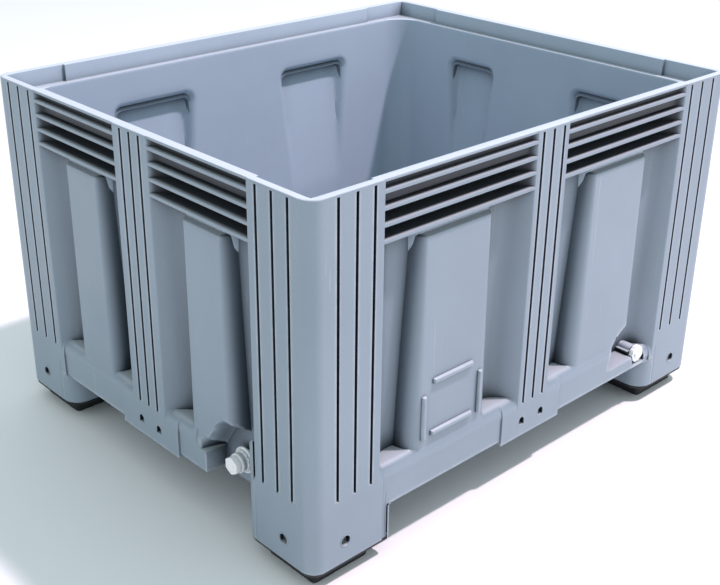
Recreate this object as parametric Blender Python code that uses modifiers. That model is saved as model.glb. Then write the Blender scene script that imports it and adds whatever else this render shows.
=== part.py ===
"""Open plastic pallet box, 1200 x 1000 x 760 mm, with four padded feet and two drain outlets.

Metres, +Z up. The origin is the middle of the footprint, at the floor. The long sides run along X.
A side is described in its own frame: u runs along the side, v runs inwards from its outer plane,
and z is the height above the floor.
"""

import math

import bmesh
import bpy
from mathutils import Matrix, Vector

# Driving dimensions of the box
LENGTH = 1.200
WIDTH = 1.000
HEIGHT = 0.760
CORNER_RADIUS = 0.030
DECK_BOTTOM = 0.106
FLOOR_TOP = 0.130
FLOOR_BOTTOM = 0.123
LEDGE_TOP = 0.724
LEDGE_BOTTOM = 0.716
LIP_WIDTH = 0.017
LIP_EXTRA = 0.006
LIP_EXTRA_INSET = 0.145
WALL = 0.006
INNER_TOP = 0.044
INNER_DRAFT = 0.0266
CAVITY_RADIUS = 0.055
POST_SKIN = 0.009
ROOF = 0.005

# Bays, panels, louvres and grooves, the long sides first
HALVES = (LENGTH / 2, WIDTH / 2)
POST_WIDTHS = (0.161, 0.155)
MIDDLE_HALVES = (0.045, 0.055)
PANEL_HALVES = (0.098, 0.064)
BLOCK_HALF = 0.092
BLOCK_HOLE_U = 0.0305
BLOCK_HOLE_Z = 0.138
BLOCK_HOLE_RADIUS = 0.0065
SIDE_SLOPE = 0.9
SILL_TOP = 0.197
SILL_FACE_Z = 0.172
SILL_DEPTH = 0.022
PANEL_TOP = 0.636
FACE_DEPTH = 0.009
SKIRT_DEPTH = 0.003
PANEL_FLARE = 0.40
RIB_TOP_Z = 0.738
RIB_PITCH = 0.0297
RIB_THICKNESS = 0.0065
RIB_COUNT = 4
RIB_SETBACK = 0.0005
PANEL_DEPTH = 0.0086
SKIRT_INSET = 0.014
MIDDLE_CORE_SLOPE = 0.5
OUTSIDE = 0.002
UPPER_DEPTH = 0.012
UPPER_INSET = 0.002
GROOVE_WIDTH = 0.007
GROOVE_DEPTH = 0.005
GROOVE_BOTTOM = 0.179
GROOVE_TOP = 0.754
CORNER_GROOVES = ((0.060, 0.1012, 0.1412), (0.0545, 0.0945, 0.1355))
MIDDLE_GROOVE_PITCH = 0.0304
NICHE_TOP = 0.632
NICHE_BOTTOM = 0.300
NICHE_FRONT = 0.019
PANEL_SKIN = 0.006
PANEL_CORE_TOP = 0.480

# Webs and pockets under the floor
DECK_POCKETS = (5, 4)
DECK_WEB = 0.008

# Feet, pads and their screws
FOOT_SIZE = (0.195, 0.190)
FOOT_BOTTOM = 0.041
FOOT_SKIN = 0.012
PAD_BASE_TOP = 0.034
PAD_INSETS = (0.025, 0.035)
PAD_WEB_TOP = 0.039
PAD_WALL = 0.009
PAD_TOP = 0.104
GAP = 0.0004
SCREW_FROM_CORNER = 0.080
SCREW_Z = 0.087
SCREW_HEAD_RADIUS = 0.0055
SCREW_HEAD_LENGTH = 0.004
SCREW_SHANK_RADIUS = 0.003
SCREW_SHANK_LENGTH = 0.024
SCREW_SINK = 0.0055

# Capped outlet on the -X side, and plugged outlet on the -Y side
CAPPED_Y = -0.267
CAPPED_Z = 0.167
CAPPED_NOTCH = (0.176, 0.318)
CAPPED_NOTCH_TOP = 0.214
CAPPED_WALL_FACE = 0.044
PLUGGED_X = 0.386
PLUGGED_Z = 0.142
PLUGGED_NOTCH_RADIUS = 0.078
TUBE_RADIUS = 0.0165
TUBE_BORE = 0.0125
TUBE_END = 0.019

ROUND_STEPS = 24
CORNER_STEPS = 4


def clear_scene():
    for old in list(bpy.data.objects):
        bpy.data.objects.remove(old)


def collection(name):
    made = bpy.data.collections.new(name)
    bpy.context.scene.collection.children.link(made)
    return made


def material(name, colour, roughness, metallic=0.0):
    made = bpy.data.materials.new(name)
    made.use_nodes = True
    shader = made.node_tree.nodes["Principled BSDF"]
    shader.inputs["Base Color"].default_value = (*colour, 1.0)
    shader.inputs["Roughness"].default_value = roughness
    shader.inputs["Metallic"].default_value = metallic
    return made


def inner_depth(z):
    """How far the tub's drafted inner wall lies behind the outer plane at height z."""
    return INNER_TOP + INNER_DRAFT * (LEDGE_TOP - z)


def bay_depth(z):
    """How far the back of a bay lies behind the outer plane: the inner wall less its thickness."""
    return inner_depth(z) - WALL


class Side:
    """One side of the box: 0 is -Y, 1 is +X, 2 is +Y and 3 is -X."""

    def __init__(self, index):
        self.index = index
        self.kind = index % 2
        self.half = HALVES[self.kind]
        self.middle = MIDDLE_HALVES[self.kind]
        self.distance = HALVES[1 - self.kind]
        self.turn = Matrix.Rotation(index * math.pi / 2, 4, "Z")

    def place(self, u, v, z):
        out = v - self.distance
        x, y = ((u, out), (-out, u), (-u, -out), (out, -u))[self.index]
        return Vector((x, y, z))

    def bays(self):
        post = self.half - POST_WIDTHS[self.kind]
        return ((-post, -self.middle), (self.middle, post))

    def groove_places(self):
        corner = [self.half - inset for inset in CORNER_GROOVES[self.kind]]
        middle = [-MIDDLE_GROOVE_PITCH, 0.0, MIDDLE_GROOVE_PITCH]
        return [-u for u in corner] + middle + corner


SIDES = [Side(index) for index in range(4)]


def finish(mesh_data, name, home, finish_material=None):
    bmesh.ops.recalc_face_normals(mesh_data, faces=mesh_data.faces)
    mesh = bpy.data.meshes.new(name)
    mesh_data.to_mesh(mesh)
    mesh_data.free()
    made = bpy.data.objects.new(name, mesh)
    home.objects.link(made)
    if finish_material:
        mesh.materials.append(finish_material)
    else:
        made.hide_render = True
        made.display_type = "WIRE"
    return made


def add_block(mesh_data, low, high):
    """Adds an axis-aligned block and returns its vertices."""
    made = bmesh.ops.create_cube(mesh_data, size=1.0)["verts"]
    for vertex in made:
        for axis in range(3):
            vertex.co[axis] = high[axis] if vertex.co[axis] > 0 else low[axis]
    return made


def add_rounded_block(mesh_data, low, high, radius, top_inset=0.0):
    """Adds a block with rounded vertical edges, whose top is smaller by top_inset on each side."""
    made = add_block(mesh_data, low, high)
    centre = (Vector(low) + Vector(high)) / 2
    for vertex in made:
        if vertex.co.z > centre.z:
            for axis in range(2):
                vertex.co[axis] -= top_inset * math.copysign(1.0, vertex.co[axis] - centre[axis])
    uprights = {
        edge
        for vertex in made
        for edge in vertex.link_edges
        if abs(edge.verts[0].co.z - edge.verts[1].co.z) > 1e-6
    }
    bmesh.ops.bevel(
        mesh_data,
        geom=list(uprights),
        offset=radius,
        offset_type="OFFSET",
        segments=CORNER_STEPS,
        profile=0.5,
        affect="EDGES",
    )


def add_prism(mesh_data, side, span, heights, fronts, backs, slope=0.0):
    """Adds a block over a span of a side, between two heights.

    fronts and backs are depths at the two heights. The span narrows by slope for each metre of depth.
    """
    for vertex in bmesh.ops.create_cube(mesh_data, size=1.0)["verts"]:
        upper = vertex.co.z > 0
        v = (backs if vertex.co.y > 0 else fronts)[upper]
        u = span[1] - slope * v if vertex.co.x > 0 else span[0] + slope * v
        vertex.co = side.place(u, v, heights[upper])


def add_cylinder(mesh_data, start, end, radius, steps=ROUND_STEPS):
    """Adds a capped cylinder between two points."""
    start, end = Vector(start), Vector(end)
    along = end - start
    turn = along.to_track_quat("Z", "X").to_matrix().to_4x4()
    bmesh.ops.create_cone(
        mesh_data,
        cap_ends=True,
        segments=steps,
        radius1=radius,
        radius2=radius,
        depth=along.length,
        matrix=Matrix.Translation((start + end) / 2) @ turn,
    )


def boolean(target, tool, operation):
    modifier = target.modifiers.new(tool.name, "BOOLEAN")
    modifier.operation = operation
    modifier.solver = "EXACT"
    modifier.object = tool
    return modifier


# The moulded box


def outer_block():
    made = bmesh.new()
    add_rounded_block(
        made,
        (-HALVES[0], -HALVES[1], DECK_BOTTOM),
        (HALVES[0], HALVES[1], HEIGHT),
        CORNER_RADIUS,
    )
    return made


def feet_tool():
    made = bmesh.new()
    for sign_x in (-1, 1):
        for sign_y in (-1, 1):
            xs = sorted((sign_x * HALVES[0], sign_x * (HALVES[0] - FOOT_SIZE[0])))
            ys = sorted((sign_y * HALVES[1], sign_y * (HALVES[1] - FOOT_SIZE[1])))
            add_rounded_block(
                made, (xs[0], ys[0], FOOT_BOTTOM), (xs[1], ys[1], FLOOR_BOTTOM + 0.004), CORNER_RADIUS
            )
    return made


def cavity_tool():
    """The drafted space inside, from the floor to the ledge."""
    made = bmesh.new()
    floor_inset = inner_depth(FLOOR_TOP)
    top = LEDGE_TOP + 0.002
    add_rounded_block(
        made,
        (-HALVES[0] + floor_inset, -HALVES[1] + floor_inset, FLOOR_TOP),
        (HALVES[0] - floor_inset, HALVES[1] - floor_inset, top),
        CAVITY_RADIUS,
        top_inset=inner_depth(top) - floor_inset,
    )
    return made


def lip_tool():
    """The wider opening above the ledge, as far out as the lip is thick in mid-side."""
    made = bmesh.new()
    x, y = HALVES[0] - LIP_WIDTH - LIP_EXTRA, HALVES[1] - LIP_WIDTH - LIP_EXTRA
    add_block(made, (-x, -y, LEDGE_TOP), (x, y, HEIGHT + 0.010))
    return made


def lip_corner_tool(sign_x, sign_y, along):
    """What the opening gains along one axis at a corner, where the lip is thin."""
    made = bmesh.new()
    reach = [half - LIP_WIDTH for half in HALVES]
    inner = [half - LIP_WIDTH - LIP_EXTRA - 0.020 for half in HALVES]
    inner[along] = HALVES[along] - LIP_EXTRA_INSET
    if along == 1:
        reach[1] -= 0.001
    xs = sorted((sign_x * inner[0], sign_x * reach[0]))
    ys = sorted((sign_y * inner[1], sign_y * reach[1]))
    add_block(made, (xs[0], ys[0], LEDGE_TOP), (xs[1], ys[1], HEIGHT + 0.010))
    return made


def bay_tool():
    """The eight bays below the ledge: slanted sides, and a back that follows the inner wall."""
    made = bmesh.new()
    heights = (SILL_TOP, LEDGE_BOTTOM)
    for side in SIDES:
        for span in side.bays():
            backs = [bay_depth(z) for z in heights]
            add_prism(made, side, span, heights, (-OUTSIDE, -OUTSIDE), backs, SIDE_SLOPE)
    return made


def upper_bay_tool():
    """The shallow recess in front of the lip, behind the first gap of the louvres."""
    made = bmesh.new()
    heights = (LEDGE_BOTTOM - 0.003, HEIGHT - ROOF)
    for side in SIDES:
        for low, high in side.bays():
            span = (low + UPPER_INSET, high - UPPER_INSET)
            add_prism(
                made, side, span, heights, (-OUTSIDE, -OUTSIDE), (UPPER_DEPTH, UPPER_DEPTH), SIDE_SLOPE
            )
    return made


def skirt_tool():
    """Sets the skirt back between the corner posts and the middle block."""
    made = bmesh.new()
    heights = (DECK_BOTTOM - OUTSIDE, SILL_TOP + 0.004)
    for side in SIDES:
        for low, high in side.bays():
            if low < 0:
                span = (low + SKIRT_INSET, -BLOCK_HALF)
            else:
                span = (BLOCK_HALF, high - SKIRT_INSET)
            add_prism(made, side, span, heights, (-OUTSIDE, -OUTSIDE), (SKIRT_DEPTH, SKIRT_DEPTH))
    return made


def sill_tool():
    """The slope from the sill down to the skirt's face, in every bay."""
    made = bmesh.new()
    rise = (SILL_TOP - SILL_FACE_Z) / (SILL_DEPTH - SKIRT_DEPTH)
    front, back = -OUTSIDE, SILL_DEPTH + 0.003
    for side in SIDES:
        for low, high in side.bays():
            for vertex in bmesh.ops.create_cube(made, size=1.0)["verts"]:
                v = back if vertex.co.y > 0 else front
                z = SILL_TOP + 0.010 if vertex.co.z > 0 else SILL_FACE_Z + rise * (v - SKIRT_DEPTH)
                u = high - SKIRT_INSET if vertex.co.x > 0 else low + SKIRT_INSET
                vertex.co = side.place(u, v, z)
    return made


def panel_tool():
    """The eight flat panels that stand out from the backs of the bays."""
    made = bmesh.new()
    into_wall = 0.003
    heights = (SILL_FACE_Z - 0.006, PANEL_TOP)
    for side in SIDES:
        half = PANEL_HALVES[side.kind]
        for low, high in side.bays():
            centre = (low + high) / 2
            backs = [bay_depth(z) + into_wall for z in heights]
            add_prism(
                made,
                side,
                (centre - half, centre + half),
                heights,
                (PANEL_DEPTH, PANEL_DEPTH),
                backs,
                -PANEL_FLARE,
            )
    return made


def rib_tool():
    """Four louvre ribs across the top of each bay."""
    made = bmesh.new()
    into = 0.004
    for side in SIDES:
        for low, high in side.bays():
            for number in range(RIB_COUNT):
                z = RIB_TOP_Z - number * RIB_PITCH
                depth = (UPPER_DEPTH if number == 0 else bay_depth(z)) + into
                heights = (z - RIB_THICKNESS / 2, z + RIB_THICKNESS / 2)
                span = (low - into, high + into)
                add_prism(made, side, span, heights, (RIB_SETBACK, RIB_SETBACK), (depth, depth))
    return made


def niche_tool():
    """The pockets inside, behind the panels, which run out towards the floor."""
    made = bmesh.new()
    heights = (NICHE_BOTTOM, NICHE_TOP)
    for side in SIDES:
        half = PANEL_HALVES[side.kind] - 0.010
        for low, high in side.bays():
            centre = (low + high) / 2
            fronts = (inner_depth(NICHE_BOTTOM) - 0.001, NICHE_FRONT)
            backs = [inner_depth(z) + 0.004 for z in heights]
            add_prism(made, side, (centre - half, centre + half), heights, fronts, backs)
    return made


def groove_tool():
    made = bmesh.new()
    for side in SIDES:
        for u in side.groove_places():
            span = (u - GROOVE_WIDTH / 2, u + GROOVE_WIDTH / 2)
            heights = (GROOVE_BOTTOM, GROOVE_TOP)
            add_prism(made, side, span, heights, (-OUTSIDE, -OUTSIDE), (GROOVE_DEPTH, GROOVE_DEPTH))
    return made


def post_core_tool(kind):
    """The hollows of the posts of two opposite sides, open at the feet and under the deck."""
    made = bmesh.new()
    heights = (DECK_BOTTOM - 0.004, LEDGE_BOTTOM - 0.008)
    backs = [bay_depth(z) for z in heights]
    fronts = (POST_SKIN, POST_SKIN)
    for side in (side for side in SIDES if side.kind == kind):
        end = side.half - POST_WIDTHS[side.kind] + 0.012
        start = side.half - POST_SKIN
        for sign in (-1, 1):
            add_prism(made, side, sorted((sign * start, sign * end)), heights, fronts, backs)
        half = side.middle - 0.010
        add_prism(made, side, (-half, half), heights, fronts, backs, -MIDDLE_CORE_SLOPE)
    return made


def skirt_core_tool():
    """The hollow behind the skirt, open at the bottom."""
    made = bmesh.new()
    heights = (DECK_BOTTOM - 0.004, SILL_FACE_Z - 0.010)
    for side in SIDES:
        end = side.half - FOOT_SIZE[side.kind] - 0.006
        front, back = SKIRT_DEPTH + 0.009, bay_depth(FLOOR_TOP)
        for span in ((-end, -0.076), (0.076, end)):
            add_prism(made, side, span, heights, (front, front), (back, back))
    return made


def panel_core_tool():
    """The hollows of the panels, between their face and the niches inside, open under the deck."""
    made = bmesh.new()
    heights = (DECK_BOTTOM - 0.006, PANEL_CORE_TOP)
    front = FACE_DEPTH + PANEL_SKIN
    slope = (NICHE_FRONT - inner_depth(NICHE_BOTTOM)) / (NICHE_TOP - NICHE_BOTTOM)
    top_back = bay_depth(NICHE_BOTTOM) + slope * (PANEL_CORE_TOP - NICHE_BOTTOM)
    for side in SIDES:
        half = PANEL_HALVES[side.kind] - 0.008
        for low, high in side.bays():
            centre = (low + high) / 2
            backs = (bay_depth(FLOOR_TOP) - 0.001, top_back)
            add_prism(made, side, (centre - half, centre + half), heights, (front, front), backs)
    return made


def deck_tool():
    """Pockets under the floor, with stiffening webs left between them."""
    made = bmesh.new()
    x_end, y_end = HALVES[0] - FOOT_SIZE[0] - 0.010, HALVES[1] - FOOT_SIZE[1] - 0.010
    x_step, y_step = 2 * x_end / DECK_POCKETS[0], 2 * y_end / DECK_POCKETS[1]
    for column in range(DECK_POCKETS[0]):
        for row in range(DECK_POCKETS[1]):
            x, y = -x_end + column * x_step, -y_end + row * y_step
            add_block(
                made,
                (x + DECK_WEB / 2, y + DECK_WEB / 2, DECK_BOTTOM - 0.004),
                (x + x_step - DECK_WEB / 2, y + y_step - DECK_WEB / 2, FLOOR_BOTTOM),
            )
    x_edge, y_edge = HALVES[0] - 0.070, HALVES[1] - 0.070
    for sign in (-1, 1):
        xs = sorted((sign * (x_end + DECK_WEB), sign * x_edge))
        ys = sorted((sign * (y_end + DECK_WEB), sign * y_edge))
        add_block(made, (xs[0], -y_end + 0.004, DECK_BOTTOM - 0.004), (xs[1], y_end - 0.004, FLOOR_BOTTOM))
        add_block(made, (-x_end + 0.004, ys[0], DECK_BOTTOM - 0.004), (x_end - 0.004, ys[1], FLOOR_BOTTOM))
    return made


def foot_core_tool():
    """The hollow of each foot, open at the bottom for its pad."""
    made = bmesh.new()
    for sign_x in (-1, 1):
        for sign_y in (-1, 1):
            corners = []
            for sign, half, size in ((sign_x, HALVES[0], FOOT_SIZE[0]), (sign_y, HALVES[1], FOOT_SIZE[1])):
                outer, inner = half - FOOT_SKIN, half - size + FOOT_SKIN
                corners.append(sorted((sign * outer, sign * inner)))
            (x_low, x_high), (y_low, y_high) = corners
            add_rounded_block(
                made,
                (x_low, y_low, FOOT_BOTTOM - 0.002),
                (x_high, y_high, FLOOR_BOTTOM - 0.010),
                CORNER_RADIUS - FOOT_SKIN,
            )
    return made


def screw_places():
    return [(side, sign * (side.half - SCREW_FROM_CORNER)) for side in SIDES for sign in (-1, 1)]


def hole_tool():
    """Countersinks for the foot screws, and the two drain holes in each middle block."""
    made = bmesh.new()
    for side, u in screw_places():
        start, end = side.place(u, -OUTSIDE, SCREW_Z), side.place(u, SCREW_SINK, SCREW_Z)
        add_cylinder(made, start, end, SCREW_HEAD_RADIUS + 0.0015, 16)
    for side in SIDES:
        for u in (-BLOCK_HOLE_U, BLOCK_HOLE_U):
            start = side.place(u, -OUTSIDE, BLOCK_HOLE_Z)
            end = side.place(u, POST_SKIN + 0.004, BLOCK_HOLE_Z)
            add_cylinder(made, start, end, BLOCK_HOLE_RADIUS, 12)
    return made


def shank_hole_tool():
    made = bmesh.new()
    for side, u in screw_places():
        start = side.place(u, SCREW_SINK - 0.001, SCREW_Z)
        end = side.place(u, FOOT_SKIN + 0.004, SCREW_Z)
        add_cylinder(made, start, end, SCREW_SHANK_RADIUS + 0.0006, 12)
    return made


def capped_notch_tool():
    """The notch in the skirt around the capped outlet."""
    made = bmesh.new()
    heights = (DECK_BOTTOM - 0.005, CAPPED_NOTCH_TOP)
    backs = (CAPPED_WALL_FACE, CAPPED_WALL_FACE)
    add_prism(made, SIDES[3], CAPPED_NOTCH, heights, (-OUTSIDE, -OUTSIDE), backs)
    return made


def capped_wall_tool():
    """Solid wall behind the capped outlet, joined to the tub's inner wall."""
    made = bmesh.new()
    span = (CAPPED_NOTCH[0] - 0.008, CAPPED_NOTCH[1] + 0.004)
    heights = (DECK_BOTTOM + 0.001, CAPPED_NOTCH_TOP + 0.010)
    front = CAPPED_WALL_FACE - 0.006
    backs = [inner_depth(z) - 0.001 for z in heights]
    add_prism(made, SIDES[3], span, heights, (front, front), backs)
    return made


def capped_bore_tool():
    made = bmesh.new()
    add_cylinder(
        made,
        (-HALVES[0] + 0.030, CAPPED_Y, CAPPED_Z),
        (-HALVES[0] + 0.070, CAPPED_Y, CAPPED_Z),
        SPIGOT_RADIUS + GAP,
    )
    return made


def capped_spotface_tool():
    """A flat face inside for the gasket of the capped outlet."""
    made = bmesh.new()
    start = -HALVES[0] + SPOTFACE_DEPTH
    add_cylinder(
        made, (start, CAPPED_Y, CAPPED_Z), (start + 0.020, CAPPED_Y, CAPPED_Z), FLANGE_RADIUS + 0.002, 32
    )
    return made


def plugged_notch_tool():
    """The arched notch around the plugged outlet, cut into the panel and the skirt."""
    made = bmesh.new()
    y = -HALVES[1]
    add_cylinder(
        made,
        (PLUGGED_X - 0.020, y - 0.002, PLUGGED_Z + 0.004),
        (PLUGGED_X - 0.020, y + bay_depth(SILL_TOP) - 0.004, PLUGGED_Z + 0.004),
        PLUGGED_NOTCH_RADIUS,
        32,
    )
    return made


def plugged_floor_tool():
    """What closes the arched notch below the outlet."""
    made = bmesh.new()
    span = (PLUGGED_X - 0.100, PLUGGED_X + 0.062)
    front, back = SKIRT_DEPTH + 0.0006, 0.056
    heights = (DECK_BOTTOM + 0.001, PLUGGED_Z - 0.022)
    add_prism(made, SIDES[0], span, heights, (front, front), (back, back))
    return made


def tube_tool():
    """The moulded tube of the plugged outlet."""
    made = bmesh.new()
    y = -HALVES[1]
    add_cylinder(
        made,
        (PLUGGED_X, y + TUBE_END, PLUGGED_Z),
        (PLUGGED_X, y + inner_depth(PLUGGED_Z) - 0.001, PLUGGED_Z),
        TUBE_RADIUS,
    )
    return made


def tube_bore_tool():
    made = bmesh.new()
    y = -HALVES[1]
    add_cylinder(
        made,
        (PLUGGED_X, y + TUBE_END - 0.004, PLUGGED_Z),
        (PLUGGED_X, y + inner_depth(PLUGGED_Z) + 0.010, PLUGGED_Z),
        TUBE_BORE,
    )
    return made


def label_tool():
    """Four raised bars that frame a label on the panel left of the middle of the -Y side."""
    made = bmesh.new()
    side = SIDES[0]
    centre = sum(side.bays()[0]) / 2
    raised, into, bar = 0.006, 0.002, 0.008
    half_u, half_z, z = 0.076, 0.052, 0.270
    spans = [
        (centre + sign * half_u - bar / 2, centre + sign * half_u + bar / 2, z - half_z, z + half_z - 0.010)
        for sign in (-1, 1)
    ] + [(centre - 0.057, centre + 0.057, z + high - bar / 2, z + high + bar / 2) for high in (-0.050, 0.058)]
    front, back = FACE_DEPTH - raised, FACE_DEPTH + into
    for low, high, z_low, z_high in spans:
        add_prism(made, side, (low, high), (z_low, z_high), (front, front), (back, back))
    return made


# Capped outlet: spigot, gasket, locknut, cap and cap seal, all round one axis

SPIGOT_RADIUS = 0.0150
SPIGOT_BORE = 0.0115
FLANGE_RADIUS = 0.0270
FLANGE_THICKNESS = 0.004
SPOTFACE_DEPTH = 0.0545
GASKET_THICKNESS = 0.0025
CAP_RADIUS = 0.0200
CAP_LENGTH = 0.0190
CAP_END = 0.0030
CAP_FACE_DEPTH = 0.0010
LOCKNUT_THICKNESS = 0.0110
LOCKNUT_RADIUS = 0.0270
SEAL_THICKNESS = 0.0020

# Plugged outlet: plug and its seal

PLUG_RADIUS = 0.0200
PLUG_FACE_DEPTH = 0.0045
PLUG_HEAD_LENGTH = 0.0120
PLUG_SHANK_RADIUS = 0.0115
PLUG_SHANK_LENGTH = 0.0180
PLUG_LUG = (0.026, 0.007)


def inwards(side, u, z):
    """Places a piece on a side: its local Z runs inwards from the outer plane."""
    return Matrix.Translation(side.place(u, 0.0, z)) @ side.turn @ Matrix.Rotation(-math.pi / 2, 4, "X")


def turned(name, profile, home, finish_material, place, steps=ROUND_STEPS):
    """Turns a profile of (depth, radius) about local Z. Its outer side runs from deep to shallow.

    A profile that ends on the axis makes a solid piece; any other one is closed into a ring.
    """
    outline = bmesh.new()
    points = [outline.verts.new((radius, 0.0, depth)) for depth, radius in profile]
    pairs = list(zip(points, points[1:]))
    if profile[0][1] > 0:
        pairs.append((points[-1], points[0]))
    for pair in pairs:
        outline.edges.new(pair)
    piece = finish(outline, name, home, finish_material)
    screw = piece.modifiers.new("turn", "SCREW")
    screw.axis = "Z"
    screw.angle = 2 * math.pi
    screw.steps = screw.render_steps = steps
    screw.use_merge_vertices = True
    screw.merge_threshold = 1e-5
    screw.use_smooth_shade = True
    piece.matrix_world = place
    return piece


def ring_profile(start, end, inner, outer):
    return [(end, outer), (start, outer), (start, inner), (end, inner)]


def stud_profile(start, step, end, head, shank):
    """A headed stud: the head from start to step, the shank from step to end."""
    return [(end, 0.0), (end, shank), (step, shank), (step, head), (start, head), (start, 0.0)]


def hexagonal(name, start, end, radius, bore, home, cutters, finish_material, place):
    """A six-sided prism on local Z with a bore, given as (depth where it starts, radius)."""
    prism = bmesh.new()
    add_cylinder(prism, (0.0, 0.0, start), (0.0, 0.0, end), radius, 6)
    piece = finish(prism, name, home, finish_material)
    drill = bmesh.new()
    add_cylinder(drill, (0.0, 0.0, bore[0]), (0.0, 0.0, end + 0.002), bore[1])
    cutter = finish(drill, f"{name}_bore", cutters)
    boolean(piece, cutter, "DIFFERENCE")
    piece.matrix_world = cutter.matrix_world = place
    return piece


def capped_outlet(home, cutters, white, rubber):
    place = inwards(SIDES[3], -CAPPED_Y, CAPPED_Z)
    flange = SPOTFACE_DEPTH + GASKET_THICKNESS + 2 * GAP
    seal = CAP_FACE_DEPTH + CAP_END + GAP
    tip = seal + SEAL_THICKNESS + GAP
    wall_face = CAPPED_WALL_FACE - 0.006
    turned(
        "outlet_spigot",
        [
            (flange + FLANGE_THICKNESS, SPIGOT_BORE),
            (flange + FLANGE_THICKNESS, FLANGE_RADIUS),
            (flange, FLANGE_RADIUS),
            (flange, SPIGOT_RADIUS),
            (tip, SPIGOT_RADIUS),
            (tip, SPIGOT_BORE),
        ],
        home,
        white,
        place,
    )
    gasket = SPOTFACE_DEPTH + GAP
    profile = ring_profile(gasket, gasket + GASKET_THICKNESS, SPIGOT_RADIUS + GAP, FLANGE_RADIUS)
    turned("outlet_gasket", profile, home, rubber, place)
    profile = ring_profile(seal, seal + SEAL_THICKNESS, SPIGOT_BORE - 0.002, SPIGOT_RADIUS - GAP)
    turned("outlet_cap_seal", profile, home, rubber, place)
    nut = wall_face - GAP - LOCKNUT_THICKNESS
    bore = SPIGOT_RADIUS + GAP
    hexagonal(
        "outlet_locknut",
        nut,
        nut + LOCKNUT_THICKNESS,
        LOCKNUT_RADIUS,
        (nut - 0.002, bore),
        home,
        cutters,
        white,
        place,
    )
    hexagonal(
        "outlet_cap",
        CAP_FACE_DEPTH,
        CAP_FACE_DEPTH + CAP_LENGTH,
        CAP_RADIUS,
        (CAP_FACE_DEPTH + CAP_END, bore),
        home,
        cutters,
        white,
        place,
    )


def plugged_outlet(home, cutters, white, rubber):
    place = inwards(SIDES[0], PLUGGED_X, PLUGGED_Z)
    step = PLUG_FACE_DEPTH + PLUG_HEAD_LENGTH
    profile = stud_profile(
        PLUG_FACE_DEPTH, step, step + PLUG_SHANK_LENGTH, PLUG_RADIUS, PLUG_SHANK_RADIUS
    )
    plug = turned("drain_plug", profile, home, white, place)
    lug = bmesh.new()
    half_long, half_short = PLUG_LUG[0] / 2, PLUG_LUG[1] / 2
    add_block(lug, (-half_long, -half_short, 0.0005), (half_long, half_short, PLUG_FACE_DEPTH + 0.003))
    tool = finish(lug, "drain_plug_lug", cutters)
    tool.matrix_world = place
    boolean(plug, tool, "UNION")
    profile = ring_profile(step + GAP, TUBE_END - GAP, PLUG_SHANK_RADIUS + GAP, TUBE_RADIUS - 0.002)
    turned("drain_plug_seal", profile, home, rubber, place)


def box_body(home, cutters, plastic):
    body = finish(outer_block(), "box_body", home, plastic)
    steps = [
        (feet_tool(), "tool_feet", "UNION"),
        (cavity_tool(), "tool_cavity", "DIFFERENCE"),
        (lip_tool(), "tool_lip", "DIFFERENCE"),
    ]
    for number, (sign_x, sign_y) in enumerate(((-1, -1), (-1, 1), (1, -1), (1, 1))):
        for along in (0, 1):
            tool = lip_corner_tool(sign_x, sign_y, along)
            steps.append((tool, f"tool_lip_{number}_{along}", "DIFFERENCE"))
    steps += [
        (bay_tool(), "tool_bays", "DIFFERENCE"),
        (upper_bay_tool(), "tool_upper_bays", "DIFFERENCE"),
        (skirt_tool(), "tool_skirt", "DIFFERENCE"),
        (sill_tool(), "tool_sill", "DIFFERENCE"),
        (panel_tool(), "tool_panels", "UNION"),
        (rib_tool(), "tool_ribs", "UNION"),
        (post_core_tool(0), "tool_long_post_cores", "DIFFERENCE"),
        (post_core_tool(1), "tool_short_post_cores", "DIFFERENCE"),
        (skirt_core_tool(), "tool_skirt_cores", "DIFFERENCE"),
        (panel_core_tool(), "tool_panel_cores", "DIFFERENCE"),
        (deck_tool(), "tool_deck", "DIFFERENCE"),
        (foot_core_tool(), "tool_foot_cores", "DIFFERENCE"),
        (niche_tool(), "tool_niches", "DIFFERENCE"),
        (groove_tool(), "tool_grooves", "DIFFERENCE"),
        (capped_notch_tool(), "tool_capped_notch", "DIFFERENCE"),
        (capped_wall_tool(), "tool_capped_wall", "UNION"),
        (capped_bore_tool(), "tool_capped_bore", "DIFFERENCE"),
        (capped_spotface_tool(), "tool_capped_spotface", "DIFFERENCE"),
        (plugged_notch_tool(), "tool_plugged_notch", "DIFFERENCE"),
        (plugged_floor_tool(), "tool_plugged_floor", "UNION"),
        (tube_tool(), "tool_tube", "UNION"),
        (tube_bore_tool(), "tool_tube_bore", "DIFFERENCE"),
        (label_tool(), "tool_label", "UNION"),
        (hole_tool(), "tool_holes", "DIFFERENCE"),
        (shank_hole_tool(), "tool_shank_holes", "DIFFERENCE"),
    ]
    for shape, name, operation in steps:
        boolean(body, finish(shape, name, cutters), operation)
    return body


def foot_span(sign, half, size, outer, inner):
    """A stretch of a foot along one axis, from its outer face to its inner face, less the two insets."""
    return sorted((sign * (half - outer), sign * (half - size + inner)))


def foot_block(sign_x, sign_y, insets, heights, radius):
    """A rounded block in the outline of one foot, inset from its outer and inner faces."""
    made = bmesh.new()
    xs = foot_span(sign_x, HALVES[0], FOOT_SIZE[0], *insets)
    ys = foot_span(sign_y, HALVES[1], FOOT_SIZE[1], *insets)
    add_rounded_block(made, (xs[0], ys[0], heights[0]), (xs[1], ys[1], heights[1]), radius)
    return made


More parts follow.
